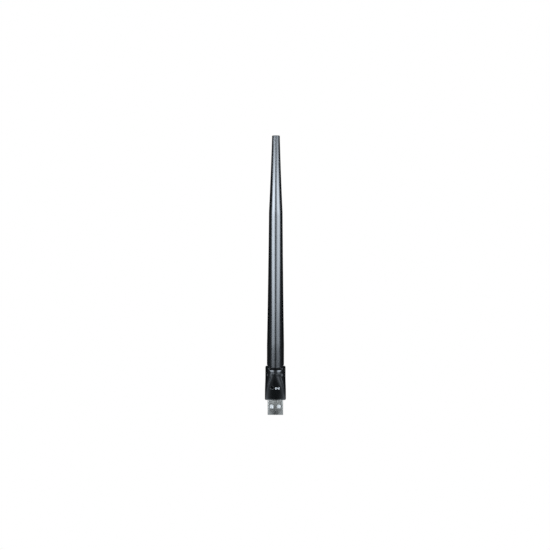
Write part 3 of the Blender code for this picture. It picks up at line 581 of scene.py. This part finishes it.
# Housing ------------------------------------------------------------------------------------------------


def half_width(z):
    wide = mix(BASE_HALF_WIDTH, HEAD_HALF_WIDTH, ease((z - WAIST_Z) / (PIVOT.z - WAIST_Z)))
    rise = np.clip(z - PIVOT.z - ARCH_RADIUS + CROWN_ROUND, 0.0, CROWN_ROUND)
    return wide - CROWN_ROUND + np.sqrt(CROWN_ROUND**2 - rise**2)


def head_depth(z):
    """Half the thickness of the round hinge head."""
    return np.sqrt(np.maximum(ARCH_RADIUS**2 - (z - PIVOT.z) ** 2, LEAST_HEAD_DEPTH**2))


def front_depth(z):
    """The front face is a straight wedge, thin at the plug and deep at the head, which rounds it off."""
    share = np.clip((z - SEAT_Z) / (WEDGE_TOP_Z - SEAT_Z), 0.0, 1.0)
    wedge = mix(BASE_HALF_DEPTH, FRONT_HALF_DEPTH, share)
    return np.where(z > PIVOT.z, -soft_max(-wedge, -head_depth(z), BROW_ROUND), wedge)


def rear_depth(z):
    """The back is thin as far as the neck, then follows the round hinge head."""
    low = soft_max(head_depth(z), BASE_HALF_DEPTH, NECK_ROUND)
    return np.minimum(np.where(z > PIVOT.z, head_depth(z), low), REAR_HALF_DEPTH)


def section_power(z):
    """The power of the superellipse section: nearly a rectangle at the base, nearly an ellipse at the
    head."""
    share = np.clip((z - SEAT_Z) / (PIVOT.z - SEAT_Z), 0.0, 1.0) ** ROUNDNESS_GROWTH
    return 1 / mix(BASE_ROUNDNESS, HEAD_ROUNDNESS, share)


def outer_form(p):
    """The closed outside of both shells: a superellipse section that changes up the housing, with a
    rounded bottom edge and a flat crown."""
    x, y, z = p[..., 0], p[..., 1], p[..., 2]
    wide, power = half_width(z), section_power(z)
    deep = np.where(y < 0, front_depth(z), rear_depth(z))
    across, along = np.abs(x) / wide, np.abs(y) / deep
    level = (across**power + along**power + 1e-9) ** (1 / power)
    tilt_x = (across / level) ** (power - 1) / wide
    tilt_y = (along / level) ** (power - 1) / deep
    side = (level - 1) / np.hypot(tilt_x, tilt_y)
    return both(both(side, SEAT_Z - z, BASE_ROUND), z - FRONT_HIGH.z)


def hinge_room(p):
    """The space between the ears, open at the top and the back."""
    x, y, z = p[..., 0], p[..., 1], p[..., 2]
    height = np.minimum(z, PIVOT.z)
    power = section_power(height)
    level = np.minimum(np.abs(x) / (half_width(height) - WALL), 1.0)
    deep = np.minimum(front_depth(height) - WALL, ROOM_HALF_DEPTH)
    wall_y = -deep * (1 - level**power) ** (1 / power)
    return np.maximum(np.maximum(np.abs(x) - EAR_INNER_X, HINGE_ROOM_FLOOR - z), wall_y - y)


def rim_notch(p):
    """Takes the front wall between the ears down to a straight, level rim."""
    x, y, z = p[..., 0], p[..., 1], p[..., 2]
    return np.maximum(np.maximum(np.abs(x) - EAR_INNER_X, RIM_Z - z), y)


def hollow_shells(p):
    """Both shells in one, before the seam divides them."""
    outer = outer_form(p)
    x, y, z = p[..., 0], p[..., 1], p[..., 2]
    board_room = np.maximum(outer + WALL, slab(z, FLOOR_Z, BOARD_ROOM_TOP))
    plug_sides = np.maximum(slab(x, PLUG_LOW.x, PLUG_HIGH.x), slab(y, PLUG_LOW.y, PLUG_HIGH.y))
    plug_hole = np.maximum(plug_sides - PLUG_HOLE_GAP, z - FLOOR_Z - OVERLAP)
    cable_way = slab(z, BOARD_ROOM_TOP - OVERLAP, HINGE_ROOM_FLOOR + OVERLAP)
    cable_hole = np.maximum(bar(p, 2, (0, 0, 0), CABLE_HOLE_RADIUS), cable_way)
    pin_bores = np.maximum(bar(p, 0, PIVOT, PIN_BORE_RADIUS), np.abs(x) - PIN_BORE_END_X)
    shells = carve(outer, rim_notch(p), ROOM_EDGE_ROUND)
    shells = carve(shells, hinge_room(p), ROOM_EDGE_ROUND)
    shells = carve(shells, plug_hole, PLUG_HOLE_ROUND)
    for hollow in (board_room, cable_hole, pin_bores):
        shells = carve(shells, hollow)
    return shells, outer


def seam_lip(p, outer, extra):
    """The tongue inside the side walls that bridges the seam. extra widens it into its groove."""
    wall = slab(outer, -WALL, -LIP_INSET) - extra
    reach = slab(p[..., 1], -WALL, LIP_REACH) - extra
    height = slab(p[..., 2], FLOOR_Z, BOARD_ROOM_TOP) - extra
    return np.maximum(np.maximum(wall, reach), height)


def board_ribs(p, low_y, high_y):
    """Ledges on both side walls that hold the board's edges."""
    low = (RIB_LOW_X, low_y, RIB_LOW_Z)
    high = (RIB_HIGH_X, high_y, RIB_HIGH_Z)
    mirrored = np.stack([np.abs(p[..., 0]), p[..., 1], p[..., 2]], axis=-1)
    return brick(mirrored, low, high)


def front_field(p):
    shells, outer = hollow_shells(p)
    half = both(shells, p[..., 1] + SEAM_GAP / 2, SEAM_ROUND)
    half = either(half, seam_lip(p, outer, 0.0))
    half = either(half, board_ribs(p, *FRONT_RIB_Y))
    key_hole = np.maximum(bar(p, 1, KEY_AT, KEY_HOLE_RADIUS), p[..., 1] - KEY_HOLE_BACK_Y)
    return carve(half, key_hole, KEY_HOLE_ROUND)


def rear_field(p):
    shells, outer = hollow_shells(p)
    half = both(shells, SEAM_GAP / 2 - p[..., 1], SEAM_ROUND)
    half = carve(half, seam_lip(p, outer, LIP_GAP))
    return either(half, board_ribs(p, *REAR_RIB_Y))


def housing():
    black = gloss_black()
    halves = (
        ("front", front_field, -FRONT_HALF_DEPTH, LIP_REACH),
        ("rear", rear_field, 0.0, REAR_HALF_DEPTH),
    )
    for side, field, low_y, high_y in halves:
        low = (-BASE_HALF_WIDTH, low_y, SEAT_Z)
        high = (BASE_HALF_WIDTH, high_y, FRONT_HIGH.z)
        shell = mesh_of_field(f"housing_{side}", field, low, high, HOUSING_CELL)
        dress(shell, black, "housing", "housing_plastic", f"{side}_shell")


def button():
    """A recessed key with a shallow dished top, on its flange and stem."""
    face_y, foot_y = KEY_LOW.y, KEY_HIGH.y
    radius, flange_radius, stem_radius = 1.05 * MM, 1.6 * MM, 0.7 * MM
    dish_depth, flange_y, flange_thickness = 0.10 * MM, -4.2 * MM, 0.4 * MM
    profile = [(radius * k, face_y + dish_depth * (1 - k * k)) for k in (0.2, 0.4, 0.6, 0.75)]
    profile += [(radius * k, face_y + drop * MM) for k, drop in ((0.86, 0.01), (0.94, 0.05), (1.0, 0.14))]
    profile += [(radius, flange_y), (flange_radius, flange_y)]
    profile += [(r, flange_y + flange_thickness) for r in (flange_radius, stem_radius)]
    profile.append((stem_radius, foot_y))
    rings = []
    for ring_radius, y in profile:
        rings.append([(KEY_AT.x + u, y, KEY_AT.z + v) for u, v in circle(ring_radius, 48)])
    dress(solid("button_key", rings, 50), smoked_plastic(), "button", "button_plastic", "button_cap")


def front_surface(x, z, lift=0.0):
    """The point on the housing's front face at x, z, raised by lift."""
    power = section_power(z)
    y = -front_depth(z) * (1 - (abs(x) / half_width(z)) ** power) ** (1 / power)
    return (x, float(y) - lift, z)


def pictogram():
    """A plain print beside the button: a dot with two arcs on each side, a common sign for radio waves."""
    centre = Vector((PRINT_X, 0, KEY_AT.z - PRINT_DROP))
    bm = bmesh.new()
    for radius, spread in PRINT_ARCS:
        for side in (0, 180):
            print_arc(bm, centre, radius, side - spread, side + spread)
    print_disc(bm, centre, PRINT_DOT_RADIUS)
    dress(object_from("wave_print", bm), white_print(), "housing", "white_plastic")


def print_arc(bm, centre, radius, start, end, steps=14):
    """A closed strip of ink along an arc on the front face."""
    rings = []
    for k in range(steps + 1):
        angle = math.radians(start + (end - start) * k / steps)
        ring = []
        for across, up in ((-1, -1), (1, -1), (1, 1), (-1, 1)):
            r = radius + across * PRINT_STROKE / 2
            x, z = centre.x + r * math.cos(angle), centre.z + r * math.sin(angle)
            ring.append(front_surface(x, z, up * PRINT_INK))
        rings.append(ring)
    loops = skin(bm, rings)
    bm.faces.new(loops[0])
    bm.faces.new(loops[-1])


def print_disc(bm, centre, radius, steps=24):
    """A closed disc of ink on the front face."""
    rings = []
    for lift in (-PRINT_INK, PRINT_INK):
        edge = [front_surface(centre.x + u, centre.z + v, lift) for u, v in circle(radius, steps)]
        rings.append(edge)
    loops = skin(bm, rings)
    bm.faces.new(loops[0])
    bm.faces.new(loops[-1])


# USB plug -----------------------------------------------------------------------------------------------


def plug_sleeve():
    """The rolled steel sleeve with its windows, front seam and solder legs."""
    half_x, half_y, wall, corner = PLUG_HIGH.x, PLUG_HIGH.y, 0.3 * MM, 0.65 * MM
    inside_z = SEAT_Z + 2.2 * MM
    lead = 0.12 * MM
    outline = rounded_rectangle(half_x, half_y, corner)
    mouth = rounded_rectangle(half_x - lead, half_y - lead, corner - lead)
    inner = rounded_rectangle(half_x - wall, half_y - wall, corner - wall)
    stations = [(inner, inside_z), (outline, inside_z), (outline, lead), (mouth, 0.0), (inner, 0.0)]
    sleeve = hoop("plug_sleeve", [[(x, y, z) for x, y in ring] for ring, z in stations], 40)
    windows = [window_cutter(side) for side in (-1, 1)]
    legs = [solder_leg(side, inside_z) for side in (-1, 1)]
    cut_and_bevel(sleeve, windows + [seam_gap()], legs, width=0.035 * MM)
    dress(sleeve, plate_with_painted_shade(), "housing", "plug_steel", "usb_shell")


def window_cutter(side):
    """A square bar through the front and back walls."""
    half, corner, half_length = 1.45 * MM, 0.25 * MM, 3 * MM
    centre = (side * 2.85 * MM, SEAT_Z - 5.2 * MM)
    opening = rounded_rectangle(half, half, corner, 4, centre)
    rings = [[(x, y, z) for x, z in opening] for y in (-half_length, half_length)]
    return solid(f"window_{side}", rings)


def solder_leg(side, sleeve_top_z):
    """A flat leg rising from the sleeve's side wall into the board."""
    half_x, half_y, corner = 0.15 * MM, 1.45 * MM, 0.05 * MM
    outline = rounded_rectangle(half_x, half_y, corner, 1, (side * 5.85 * MM, 0.45 * MM))
    heights = (sleeve_top_z - 0.3 * MM, PLUG_HIGH.z)
    return solid(f"leg_{side}", [[(x, y, z) for x, y in outline] for z in heights])


def seam_gap():
    """A thin zigzag slit through the front wall, with a dovetail on each side. Its steps are millimetres
    across and up the wall."""
    half_gap = 0.05 * MM
    outside_y, inside_y = -2.5 * MM, -1.8 * MM
    steps = [(0, -2.0), (0, 1.95), (0.55, 1.65), (0.55, 3.15), (0, 2.85)]
    steps += [(0, 7.65), (-0.55, 7.35), (-0.55, 9.15), (0, 8.85), (0, 15.0)]
    path = [Vector(step) * MM for step in steps]
    right, left = [], []
    for k, point in enumerate(path):
        before = point - path[k - 1] if k else path[1] - point
        after = path[k + 1] - point if k + 1 < len(path) else before
        normal = before.orthogonal().normalized() + after.orthogonal().normalized()
        offset = 2 * half_gap / normal.length_squared * normal
        right.append(point - offset)
        left.append(point + offset)
    outline = right + left[::-1]
    return solid("seam_gap", [[(x, y, z) for x, z in outline] for y in (outside_y, inside_y)])


# Antenna ------------------------------------------------------------------------------------------------


def bowed(share, bow):
    """Runs from 0 to 1 with share, faster at first, by bow."""
    return share * (1 + bow - bow * share)


def tube_half_width(z):
    """Parallel at the base, a slow taper to the knee, then a faster one to the tip."""
    lower = np.clip((z - COLLAR_TOP_Z) / (KNEE_Z - COLLAR_TOP_Z), 0.0, 1.0)
    upper = np.clip((z - KNEE_Z) / (TIP_Z - KNEE_Z), 0.0, 1.0)
    below = ANTENNA_HALF_WIDTH - (ANTENNA_HALF_WIDTH - KNEE_HALF_WIDTH) * bowed(lower, LOWER_BOW)
    return below - (KNEE_HALF_WIDTH - TIP_HALF_WIDTH) * bowed(upper, UPPER_BOW)


def tube_flatness(z):
    """Width over depth: round at the base, a flattened oval above the knee."""
    lower = ease((z - COLLAR_TOP_Z) / (KNEE_Z - COLLAR_TOP_Z))
    upper = np.clip((z - KNEE_Z) / (TIP_Z - KNEE_Z), 0.0, 1.0)
    return mix(1.0, KNEE_FLATNESS, lower) + (TIP_FLATNESS - KNEE_FLATNESS) * upper


def tube_point(z, angle, inset=0.0):
    wide = float(tube_half_width(z))
    deep = wide / float(tube_flatness(z))
    return ((wide - inset) * math.cos(angle), (deep - inset) * math.sin(angle), float(z))


def rim_height(angle, inset):
    """Height of the tube's lower edge: hollowed over the hinge head, straight along the front apron."""
    x, y, _ = tube_point(COLLAR_TOP_Z, angle, inset)
    saddle = PIVOT.z + math.sqrt(SADDLE_RADIUS**2 - y * y)
    if y > 0:
        return saddle
    flank = float(ease((abs(x) - APRON_HALF_WIDTH + APRON_STEP / 2) / APRON_STEP))
    return mix(APRON_Z, saddle, flank)


def tube_ring(inset, rise=None, z=None, share=0.0, angles=()):
    """One ring of the tube. A ring near the lower edge sits rise above it; share blends it to height z."""
    ring = []
    for angle in angles:
        height = z if rise is None else mix(rim_height(angle, inset) + rise, z or 0.0, share)
        ring.append(tube_point(height, angle, inset))
    return ring


def antenna_tube():
    """The long tapered cover: outside from the rounded rim to the rounded tip, then the hollow."""
    angles = [2 * math.pi * k / AROUND for k in range(AROUND)]
    quarter = [math.radians(15 * k) for k in range(7)]
    rings = []
    for turn in quarter:
        inset, rise = RIM_ROUND * (1 - math.sin(turn)), RIM_ROUND * (1 - math.cos(turn))
        rings.append(tube_ring(inset, rise, angles=angles))
    for share in (0.04, 0.12, 0.3, 0.6):
        rings.append(tube_ring(0.0, RIM_ROUND, LEVEL_Z, share, angles))
    heights = [*np.linspace(LEVEL_Z, COLLAR_TOP_Z, 5)]
    heights += [*np.linspace(COLLAR_TOP_Z, KNEE_Z, 40)[1:]]
    heights += [*np.linspace(KNEE_Z, TIP_Z - TIP_ROUND - TIP_STEP, 22)[1:]]
    rings += [tube_ring(0.0, z=z, angles=angles) for z in heights]
    for turn in quarter:
        inset, drop = TIP_ROUND * (1 - math.cos(turn)), TIP_ROUND * (1 - math.sin(turn))
        rings.append(tube_ring(inset, z=TIP_Z - drop, angles=angles))
    inside = [tube_ring(COVER_WALL - INNER_RIM_ROUND, 0.0, angles=angles)]
    inside.append(tube_ring(COVER_WALL, INNER_RIM_ROUND, angles=angles))
    hollow_heights = [LEVEL_Z, COLLAR_TOP_Z, *np.linspace(COLLAR_TOP_Z, KNEE_Z, 8)[1:]]
    for z in hollow_heights + [HOLLOW_SHOULDER_Z, HOLLOW_TOP_Z]:
        inside.append(tube_ring(COVER_WALL, z=z, angles=angles))
    bm = bmesh.new()
    loops = skin(bm, rings[::-1] + inside)
    for cap, sign in ((loops[0], 1), (loops[-1], -1)):
        fan_cap(bm, cap, sign * TIP_CROWN)
    tube = object_from("antenna_tube", bm)
    dress(tube, satin_black(), "antenna", "antenna_plastic", "antenna_cover")


def fan_cap(bm, loop, crown):
    """Closes a ring with two smaller rings and a centre point, crowned slightly."""
    middle = sum((v.co for v in loop), Vector()) / len(loop)
    rim = loop
    for share in (0.75, 0.35):
        lift = Vector((0, 0, crown * (1 - share)))
        inner = [bm.verts.new(middle.lerp(v.co, share) + lift) for v in loop]
        for k in range(len(loop)):
            after = (k + 1) % len(loop)
            bm.faces.new((rim[k], rim[after], inner[after], inner[k]))
        rim = inner
    centre = bm.verts.new(middle + Vector((0, 0, crown)))
    for k in range(len(rim)):
        bm.faces.new((rim[k], rim[(k + 1) % len(rim)], centre))


# Hinge --------------------------------------------------------------------------------------------------


def knuckle_field(p):
    """The barrel, the flat tongue and the spigot in the tube, with their bores and the cable's channel."""
    x, y, z = p[..., 0], p[..., 1], p[..., 2]
    half, barrel_radius, tongue_half_depth = 4.3 * MM, PIVOT.z - KNUCKLE_LOW.z, 2.9 * MM
    pin_radius, pin_inner_x, core_radius = 1.2 * MM, 1.2 * MM, 3.6 * MM
    way, slot_length = 0.9 * MM, 9 * MM
    spigot_foot_z, tongue_top_z, core_floor_z = (SEAT_Z + z * MM for z in (21, 31, 32))
    ends = np.abs(x) - half
    barrel = both(bar(p, 0, PIVOT, barrel_radius), ends, 0.25 * MM)
    tongue = both(ends, np.abs(y) - tongue_half_depth, 0.3 * MM)
    tongue = both(tongue, slab(z, PIVOT.z, tongue_top_z))
    spigot = both(bar(p, 2, (0, 0, 0), KNUCKLE_HIGH.x), z - KNUCKLE_HIGH.z, 0.5 * MM)
    spigot = carve(spigot, bar(p, 0, PIVOT, SADDLE_RADIUS + 0.2 * MM), 0.2 * MM)
    spigot = np.maximum(spigot, spigot_foot_z - z)
    body = either(either(barrel, tongue, 0.5 * MM), spigot)
    bores = np.maximum(bar(p, 0, PIVOT, pin_radius), pin_inner_x - np.abs(x))
    channel = np.maximum(bar(p, 2, (0, 0, 0), way), PIVOT.z - z)
    core = np.maximum(bar(p, 2, (0, 0, 0), core_radius), core_floor_z - z)
    slot_low = (-way, -way, PIVOT.z - slot_length)
    slot_high = (way, slot_length, PIVOT.z + way)
    for hollow in (bores, channel, core, brick(p, slot_low, slot_high)):
        body = carve(body, hollow, 0.1 * MM)
    return body


def hinge_knuckle():
    knuckle = mesh_of_field("hinge_knuckle", knuckle_field, KNUCKLE_LOW, KNUCKLE_HIGH, KNUCKLE_CELL)
    black = Shader("black_nylon", (0.001, 0.001, 0.001), 0.5, specular=0.1).vary_roughness(0.8, 0.15)
    dress(knuckle, black.material, "antenna", "antenna_plastic", "antenna_knuckle")


def antenna_cable():
    """One cable from the board's connector, through the hinge room's floor and the hinge, to the sleeve."""
    points = [(2.6, -0.75, 11.2), (1.4, -0.75, 11.7), (0.5, -0.75, 12.4), (0.05, -0.62, 13.1)]
    points += [(0.0, -0.25, 13.9), (0.0, -0.05, 14.8), (0.0, 0.0, 16.2), (0.0, 0.0, 18.5)]
    points += [(0.0, 0.0, 22.0), (0.0, 0.0, 26.0), (0.0, 0.0, 60.0), (0.0, 0.0, 88.0)]
    path = smooth_path([Vector((x, y, z + SEAT_Z / MM)) * MM for x, y, z in points], 10)
    rings = []
    side = Vector((0, 1, 0))
    section = circle(CABLE_RADIUS, 16)
    for k, point in enumerate(path):
        ahead = (path[min(k + 1, len(path) - 1)] - path[max(k - 1, 0)]).normalized()
        side = (side - ahead * side.dot(ahead)).normalized()
        other = ahead.cross(side)
        rings.append([point + side * u + other * v for u, v in section])
    cable = solid("antenna_cable", rings, 50)
    cable.data.materials.append(moulded("cable_jacket", (0.03, 0.03, 0.033), 0.42))
    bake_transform(cable)
    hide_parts("coax_lower", "coax_upper")


def smooth_path(points, steps):
    """Catmull-Rom points through a list of points."""
    padded = [2 * points[0] - points[1], *points, 2 * points[-1] - points[-2]]
    path = [points[0]]
    for p0, p1, p2, p3 in zip(padded, padded[1:], padded[2:], padded[3:]):
        for k in range(1, steps + 1):
            t = k / steps
            bend = (2 * p0 - 5 * p1 + 4 * p2 - p3) * t**2 + (3 * p1 - p0 - 3 * p2 + p3) * t**3
            path.append(0.5 * (2 * p1 + (p2 - p0) * t + bend))
    return path


# CAD nodes that keep their shape ------------------------------------------------------------------------


def carried_nodes():
    """Materials for the CAD nodes that stay."""
    white = moulded("white_insulator", (0.46, 0.45, 0.43), 0.42)
    nylon = moulded("liner_nylon", (0.004, 0.004, 0.004), 0.50)
    moulding = moulded("chip_moulding", (0.025, 0.025, 0.026), 0.55, 0.15)
    ceramic = moulded("tan_ceramic", (0.50, 0.37, 0.24), 0.45, 0.12)
    foam = moulded("grey_foam", (0.22, 0.22, 0.23), 0.90, 0.25, 0.08)
    gold = coloured_metal("gold_plate", (0.85, 0.62, 0.28), 0.26)
    brass = coloured_metal("drawn_brass", (0.72, 0.53, 0.24), 0.32)
    copper = coloured_metal("bare_copper", (0.80, 0.42, 0.28), 0.30)
    sheet = plated_steel("sheet_steel", (0.55, 0.55, 0.54), 0.34, (4, 1, 1)).material
    turned = plated_steel("turned_steel", (0.50, 0.50, 0.49), 0.30, (6, 1, 1)).material
    groups = {
        white: ("usb_insulator", "status_led", "switch_plunger"),
        nylon: ("friction_liner_left", "friction_liner_right"),
        moulding: ("wifi_chip", "amplifier_chip", "inductor", "switch_base", "feed_insulator"),
        ceramic: tuple(f"capacitor_{k}" for k in range(1, 7)),
        foam: ("spacer_lower", "spacer_middle", "spacer_upper"),
        gold: tuple(n for n in frame["nodes"] if n.startswith(("usb_contact", "coax_socket", "coax_plug"))),
        brass: ("antenna_sleeve",),
        copper: ("radiator_wire",),
        sheet: ("shield_can", "crystal", "switch_cover", "switch_dome"),
        turned: ("hinge_pin_left", "hinge_pin_right"),
        solder_mask(): ("circuit_board",),
    }
    for material, nodes in groups.items():
        for node in nodes:
            mesh = frame["nodes"][node].data
            mesh.materials.clear()
            mesh.materials.append(material)


# Stage --------------------------------------------------------------------------------------------------


def node_tree(owner):
    owner.use_nodes = True
    owner.node_tree.nodes.clear()
    return owner.node_tree


def camera_switch(tree, seen, other):
    """Shows one shader to the camera and another to reflections."""
    path = tree.nodes.new("ShaderNodeLightPath")
    blend = tree.nodes.new("ShaderNodeMixShader")
    tree.links.new(path.outputs["Is Camera Ray"], blend.inputs["Fac"])
    tree.links.new(other, blend.inputs[1])
    tree.links.new(seen, blend.inputs[2])
    return blend.outputs["Shader"]


def emission(tree, colour, strength):
    node = tree.nodes.new("ShaderNodeEmission")
    node.inputs["Color"].default_value = (*colour, 1.0)
    node.inputs["Strength"].default_value = strength
    return node


def white_world():
    """White behind the object. Reflections see a dim room, a little lighter on the camera's side."""
    world = bpy.data.worlds.new("studio")
    tree = node_tree(world)
    seen, dim = tree.nodes.new("ShaderNodeBackground"), tree.nodes.new("ShaderNodeBackground")
    seen.inputs["Color"].default_value = (1.0, 1.0, 1.0, 1.0)
    dim.inputs["Color"].default_value = (*STUDIO_TINT, 1.0)
    direction = split_axes(tree, tree.nodes.new("ShaderNodeTexCoord").outputs["Generated"])
    glow = between(tree, direction["Y"], *ROOM_FADE, ROOM_DARK, ROOM_FRONT, "SMOOTHSTEP")
    tree.links.new(glow, dim.inputs["Strength"])
    output = tree.nodes.new("ShaderNodeOutputWorld")
    mixed = camera_switch(tree, seen.outputs["Background"], dim.outputs["Background"])
    tree.links.new(mixed, output.inputs["Surface"])
    bpy.context.scene.world = world


def front_pools(tree, around, reach):
    """Light on the floor to the left and right in front, brightest close to the plug."""
    sideways = maths(tree, "ABSOLUTE", around)
    inner = between(tree, sideways, *map(math.radians, FRONT_POOL_INNER), 0.0, 1.0)
    outer = between(tree, sideways, *map(math.radians, FRONT_POOL_OUTER), 1.0, 0.0)
    glow = between(tree, reach, FRONT_POOL_NEAR, FRONT_POOL_FAR, *FRONT_POOL_GLOW)
    return maths(tree, "MULTIPLY", glow, maths(tree, "MULTIPLY", inner, outer))


def far_pools(tree, around, reach):
    """Soft pools of light in a ring on the floor. Only views from above find them in reflections."""
    ray = split_axes(tree, tree.nodes.new("ShaderNodeNewGeometry").outputs["Incoming"])
    turned = maths(tree, "SUBTRACT", around, math.radians(FAR_POOL_FIRST))
    wave = maths(tree, "COSINE", maths(tree, "MULTIPLY", turned, FAR_POOL_COUNT))
    pool = between(tree, wave, FAR_POOL_EDGE, 1.0, 0.0, FAR_POOL_GLOW)
    apart = between(tree, reach, FAR_POOL_NEAR, FAR_POOL_FAR, 0.0, 1.0)
    seen = between(tree, ray["Z"], FAR_POOL_LOW_VIEW, FAR_POOL_HIGH_VIEW, 0.0, 1.0)
    return maths(tree, "MULTIPLY", pool, maths(tree, "MULTIPLY", apart, seen))


def floor_glow(tree):
    """How strongly each place on the floor glows in reflections."""
    place = split_axes(tree, tree.nodes.new("ShaderNodeTexCoord").outputs["Object"])
    around = maths(tree, "ARCTAN2", place["X"], maths(tree, "MULTIPLY", place["Y"], -1.0))
    squares = [maths(tree, "MULTIPLY", place[axis], place[axis]) for axis in "XY"]
    reach = maths(tree, "SQRT", maths(tree, "ADD", *squares))
    pools = maths(tree, "ADD", front_pools(tree, around, reach), far_pools(tree, around, reach))
    return maths(tree, "ADD", pools, FLOOR_GLOW)


def pale_floor():
    """A white floor under the plug. Reflections see a dim floor with pools of light on it, and find it by
    themselves: it isn't sampled as a lamp."""
    bm = bmesh.new()
    bmesh.ops.create_grid(bm, x_segments=8, y_segments=8, size=FLOOR_HALF)
    floor = object_from("floor", bm)
    floor.location.z = -FLOOR_DROP
    material = bpy.data.materials.new("pale_floor")
    material.cycles.emission_sampling = "NONE"
    tree = node_tree(material)
    white, dim = emission(tree, (1, 1, 1), 1.0), emission(tree, STUDIO_TINT, 1.0)
    tree.links.new(floor_glow(tree), dim.inputs["Strength"])
    output = tree.nodes.new("ShaderNodeOutputMaterial")
    mixed = camera_switch(tree, white.outputs["Emission"], dim.outputs["Emission"])
    tree.links.new(mixed, output.inputs["Surface"])
    floor.data.materials.append(material)


def softbox(name, sideways, profile, strength):
    """A light panel on a sphere about the object, between two angles sideways of the camera's plane. Its
    profile gives the glow at each angle around the object's cross axis, from level in front to overhead."""
    panel = object_from(name, panel_mesh(sideways, profile, strength))
    material = bpy.data.materials.new(name)
    tree = node_tree(material)
    light = emission(tree, STUDIO_TINT, 1.0)
    glow = tree.nodes.new("ShaderNodeAttribute")
    glow.attribute_name = "glow"
    tree.links.new(glow.outputs["Fac"], light.inputs["Strength"])
    output = tree.nodes.new("ShaderNodeOutputMaterial")
    tree.links.new(light.outputs["Emission"], output.inputs["Surface"])
    panel.data.materials.append(material)
    panel.visible_camera = False


def panel_mesh(sideways, profile, strength):
    """The panel's grid, with its glow at each vertex: full over the middle third, fading to both sides."""
    rises = np.linspace(profile[0][0], profile[-1][0], LIGHT_ROWS)
    glow_at = np.interp(rises, *np.array(profile).T)
    shares = [c / LIGHT_COLUMNS for c in range(LIGHT_COLUMNS + 1)]
    bm = bmesh.new()
    layer = bm.verts.layers.float.new("glow")
    grid = []
    for rise, glow in zip(rises, glow_at):
        up = math.radians(rise)
        line = []
        for share in shares:
            across = math.radians(mix(*sideways, share))
            flat = math.cos(across)
            towards = Vector((math.sin(across), -flat * math.cos(up), flat * math.sin(up)))
            vert = bm.verts.new(LIGHT_CENTRE + LIGHT_DISTANCE * towards)
            vert[layer] = glow * strength * float(ease(1.5 - abs(3 * share - 1.5)))
            line.append(vert)
        grid.append(line)
    for low, high in zip(grid, grid[1:]):
        for c in range(LIGHT_COLUMNS):
            bm.faces.new((low[c], low[c + 1], high[c + 1], high[c]))
    return bm


def studio():
    white_world()
    pale_floor()
    softbox("light_left", (-60, -1), FRONT_GLOW, strength=13.0)
    softbox("light_right", (1, 68), FRONT_GLOW, strength=10.3)
    softbox("light_top_left", (-50, -5), TOP_GLOW, strength=5.0)
    softbox("light_top_right", (5, 50), TOP_GLOW, strength=5.0)
    scene = bpy.context.scene
    scene.view_settings.view_transform = "Standard"
    scene.view_settings.look = "None"


def camera():
    """Level with the middle of the adapter, straight in front, through a long lens."""
    data = bpy.data.cameras.new("camera")
    data.lens, data.sensor_width = 100.0, 36.0
    distance = PICTURE_WIDTH / 2 / (data.sensor_width / 2 / data.lens)
    data.clip_start, data.clip_end = 0.05, 20.0
    obj = bpy.data.objects.new("camera", data)
    bpy.context.scene.collection.objects.link(obj)
    obj.location = (CAMERA_X, -distance, CAMERA_Z)
    obj.rotation_euler = (math.radians(90), math.radians(CAMERA_ROLL), 0)
    bpy.context.scene.camera = obj


# Build --------------------------------------------------------------------------------------------------

housing()
button()
pictogram()
plug_sleeve()
antenna_tube()
hinge_knuckle()
antenna_cable()
carried_nodes()
studio()
camera()
